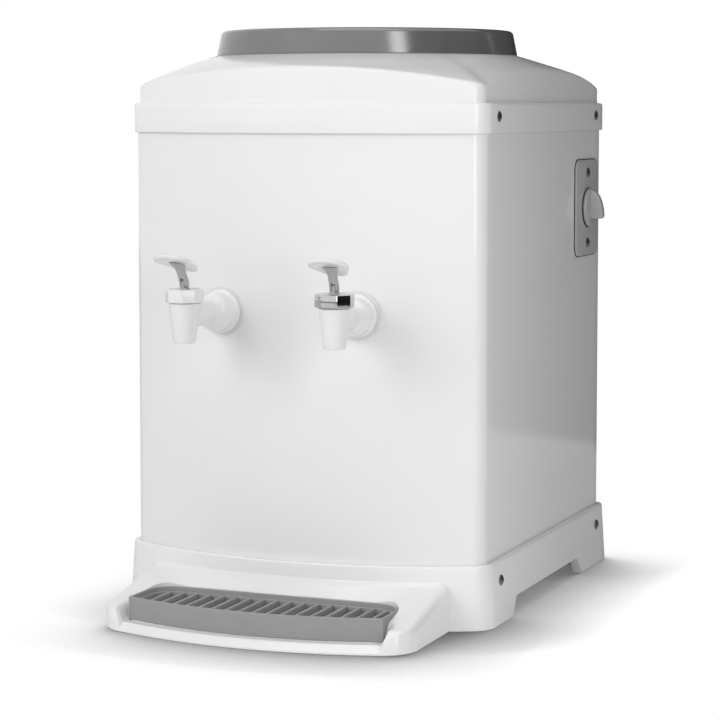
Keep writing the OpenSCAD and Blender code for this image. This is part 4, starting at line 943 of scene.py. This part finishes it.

# stage: white floor with a painted contact shadow under and beside the object, white backdrop, soft lamps and
# dark cards
stage = {
    "floorSize": 8, "floorTint": 0.9, "floorRough": 0.9, "shadowReach": 0.08, "shadowDepth": 1.8,
    "paintedShadowAxis": (-0.45, 0.75, 0.4), "ambient": 0.12, "cardTint": 0.02,
}
lamps = {
    "leftLamp": {"place": (-1.3, -2.0, 1.7), "wide": 1.6, "tall": 1.6, "power": 24.5, "mirrored": False},
    "lowLamp": {"place": (-1.2, -2.1, 0.9), "wide": 1.6, "tall": 1.2, "power": 13.8, "mirrored": False},
    "topLamp": {"place": (0.1, -0.6, 2.2), "wide": 1.6, "tall": 1.4, "power": 10.7, "mirrored": True},
    "stripLamp": {"place": (1.15, -1.11, 0.75), "wide": 0.3, "tall": 1.2, "power": 4.6, "mirrored": True},
    "sideLamp": {"place": (0.4, -0.45, 0.35), "wide": 0.15, "tall": 0.7, "power": 0.25, "mirrored": False},
    "cornerLamp": {"place": (0.45, -0.25, 0.3), "wide": 0.1, "tall": 0.6, "power": 0.35, "mirrored": False},
    "rearLamp": {"place": (-0.3, 2.2, 1.5), "wide": 1.6, "tall": 1.4, "power": 10, "mirrored": False},
}
cards = {
    "rightCard": {"place": (1.35, 0.1, 0.75), "turn": 90, "long": 2.2, "tall": 1.5},
    "rearCard": {"place": (0.45, 0.95, 0.8), "turn": 20, "long": 1.9, "tall": 1.6},
}


# 1 on the rays that show the backdrop: straight to the eye, and those named
def addSeenMask(nodes, links, *rays):
    paths = nodes.new("ShaderNodeLightPath")
    mask = paths.outputs["Is Camera Ray"]
    for ray in rays:
        either = nodes.new("ShaderNodeMath")
        either.operation = "MAXIMUM"
        links.new(mask, either.inputs[0])
        links.new(paths.outputs[ray], either.inputs[1])
        mask = either.outputs[0]
    return mask


def makeFloor():
    deselectAll()
    bpy.ops.mesh.primitive_plane_add(size=stage["floorSize"])
    floor = bpy.context.object
    floor.name = "floor"
    material = bpy.data.materials.new("paleFloor")
    material.use_nodes = True
    nodes, links = material.node_tree.nodes, material.node_tree.links
    shader = nodes["Principled BSDF"]
    tint = stage["floorTint"]
    shader.inputs["Base Color"].default_value = (tint, tint, tint, 1)
    shader.inputs["Roughness"].default_value = stage["floorRough"]
    shader.inputs["Specular IOR Level"].default_value = 0

    # to the eye the floor is white emission darkened by ambient occlusion: a painted contact shadow cast by
    # no lamp, falling as if from behind, to the left and above
    skyward = nodes.new("ShaderNodeCombineXYZ")
    for i, part in enumerate(Vector(stage["paintedShadowAxis"]).normalized()):
        skyward.inputs[i].default_value = part
    paintedShadow = nodes.new("ShaderNodeAmbientOcclusion")
    paintedShadow.inputs["Distance"].default_value = stage["shadowReach"]
    links.new(skyward.outputs[0], paintedShadow.inputs["Normal"])
    deepened = nodes.new("ShaderNodeMath")
    deepened.operation = "POWER"
    deepened.inputs[1].default_value = stage["shadowDepth"]
    links.new(paintedShadow.outputs["AO"], deepened.inputs[0])
    white = nodes.new("ShaderNodeEmission")
    links.new(deepened.outputs[0], white.inputs["Strength"])
    both = nodes.new("ShaderNodeMixShader")
    links.new(addSeenMask(nodes, links, "Is Transmission Ray"), both.inputs[0])
    links.new(shader.outputs[0], both.inputs[1])
    links.new(white.outputs[0], both.inputs[2])
    links.new(both.outputs[0], nodes["Material Output"].inputs["Surface"])
    floor.data.materials.append(material)


def makeSurround():
    world = bpy.data.worlds.new("surround")
    bpy.context.scene.world = world
    world.use_nodes = True
    nodes, links = world.node_tree.nodes, world.node_tree.links
    level = nodes.new("ShaderNodeMapRange")
    level.inputs["To Min"].default_value = stage["ambient"]
    level.inputs["To Max"].default_value = 1
    links.new(addSeenMask(nodes, links, "Is Glossy Ray", "Is Transmission Ray"), level.inputs["Value"])
    links.new(level.outputs["Result"], nodes["Background"].inputs["Strength"])
    nodes["Background"].inputs["Color"].default_value = (1, 1, 1, 1)


# upright dark cards beside the object, seen only in mirror-like surfaces
def makeCard(name, card):
    deselectAll()
    bpy.ops.mesh.primitive_plane_add(size=1)
    piece = bpy.context.object
    piece.name = name
    piece.scale = (card["long"], card["tall"], 1)
    bpy.ops.object.transform_apply(location=True, rotation=True, scale=True)
    movePiece(piece, card["place"], (90, 0, card["turn"]))
    material = bpy.data.materials.new(name)
    material.use_nodes = True
    shader = material.node_tree.nodes["Principled BSDF"]
    tint = stage["cardTint"]
    shader.inputs["Base Color"].default_value = (tint, tint, tint, 1)
    shader.inputs["Specular IOR Level"].default_value = 0
    piece.data.materials.append(material)
    piece.visible_camera = False
    piece.visible_diffuse = False
    piece.visible_shadow = False


def addLamp(name, lamp):
    data = bpy.data.lights.new(name, "AREA")
    data.shape = "RECTANGLE"
    data.size = lamp["wide"]
    data.size_y = lamp["tall"]
    data.energy = lamp["power"]
    holder = bpy.data.objects.new(name, data)
    bpy.context.collection.objects.link(holder)
    holder.location = lamp["place"]
    holder.visible_camera = False
    holder.visible_glossy = lamp["mirrored"]
    aim = Vector((0, 0, cadBox[1][2] / 2)) - Vector(lamp["place"])
    holder.rotation_euler = aim.to_track_quat("-Z", "Y").to_euler()


makeFloor()
makeSurround()
for name, card in cards.items():
    makeCard(name, card)
for name, lamp in lamps.items():
    addLamp(name, lamp)

# camera at the photograph's place: yaw and pitch in degrees, place in millimetres
camera = {"place": (728.99, -1790.62, 405), "yaw": 22.048, "pitch": 4.446, "lens": 116.93, "sensor": 36,
          "shift": -0.1}


def makeCamera():
    data = bpy.data.cameras.new("photoCamera")
    data.lens = camera["lens"]
    data.sensor_width = camera["sensor"]
    data.shift_y = camera["shift"]
    eye = bpy.data.objects.new("photoCamera", data)
    bpy.context.collection.objects.link(eye)
    eye.location = Vector(camera["place"]) * mm
    eye.rotation_euler = (math.radians(90 - camera["pitch"]), 0, math.radians(camera["yaw"]))
    bpy.context.scene.camera = eye


makeCamera()
bpy.context.scene.view_settings.view_transform = "Standard"
print("stage and camera set")
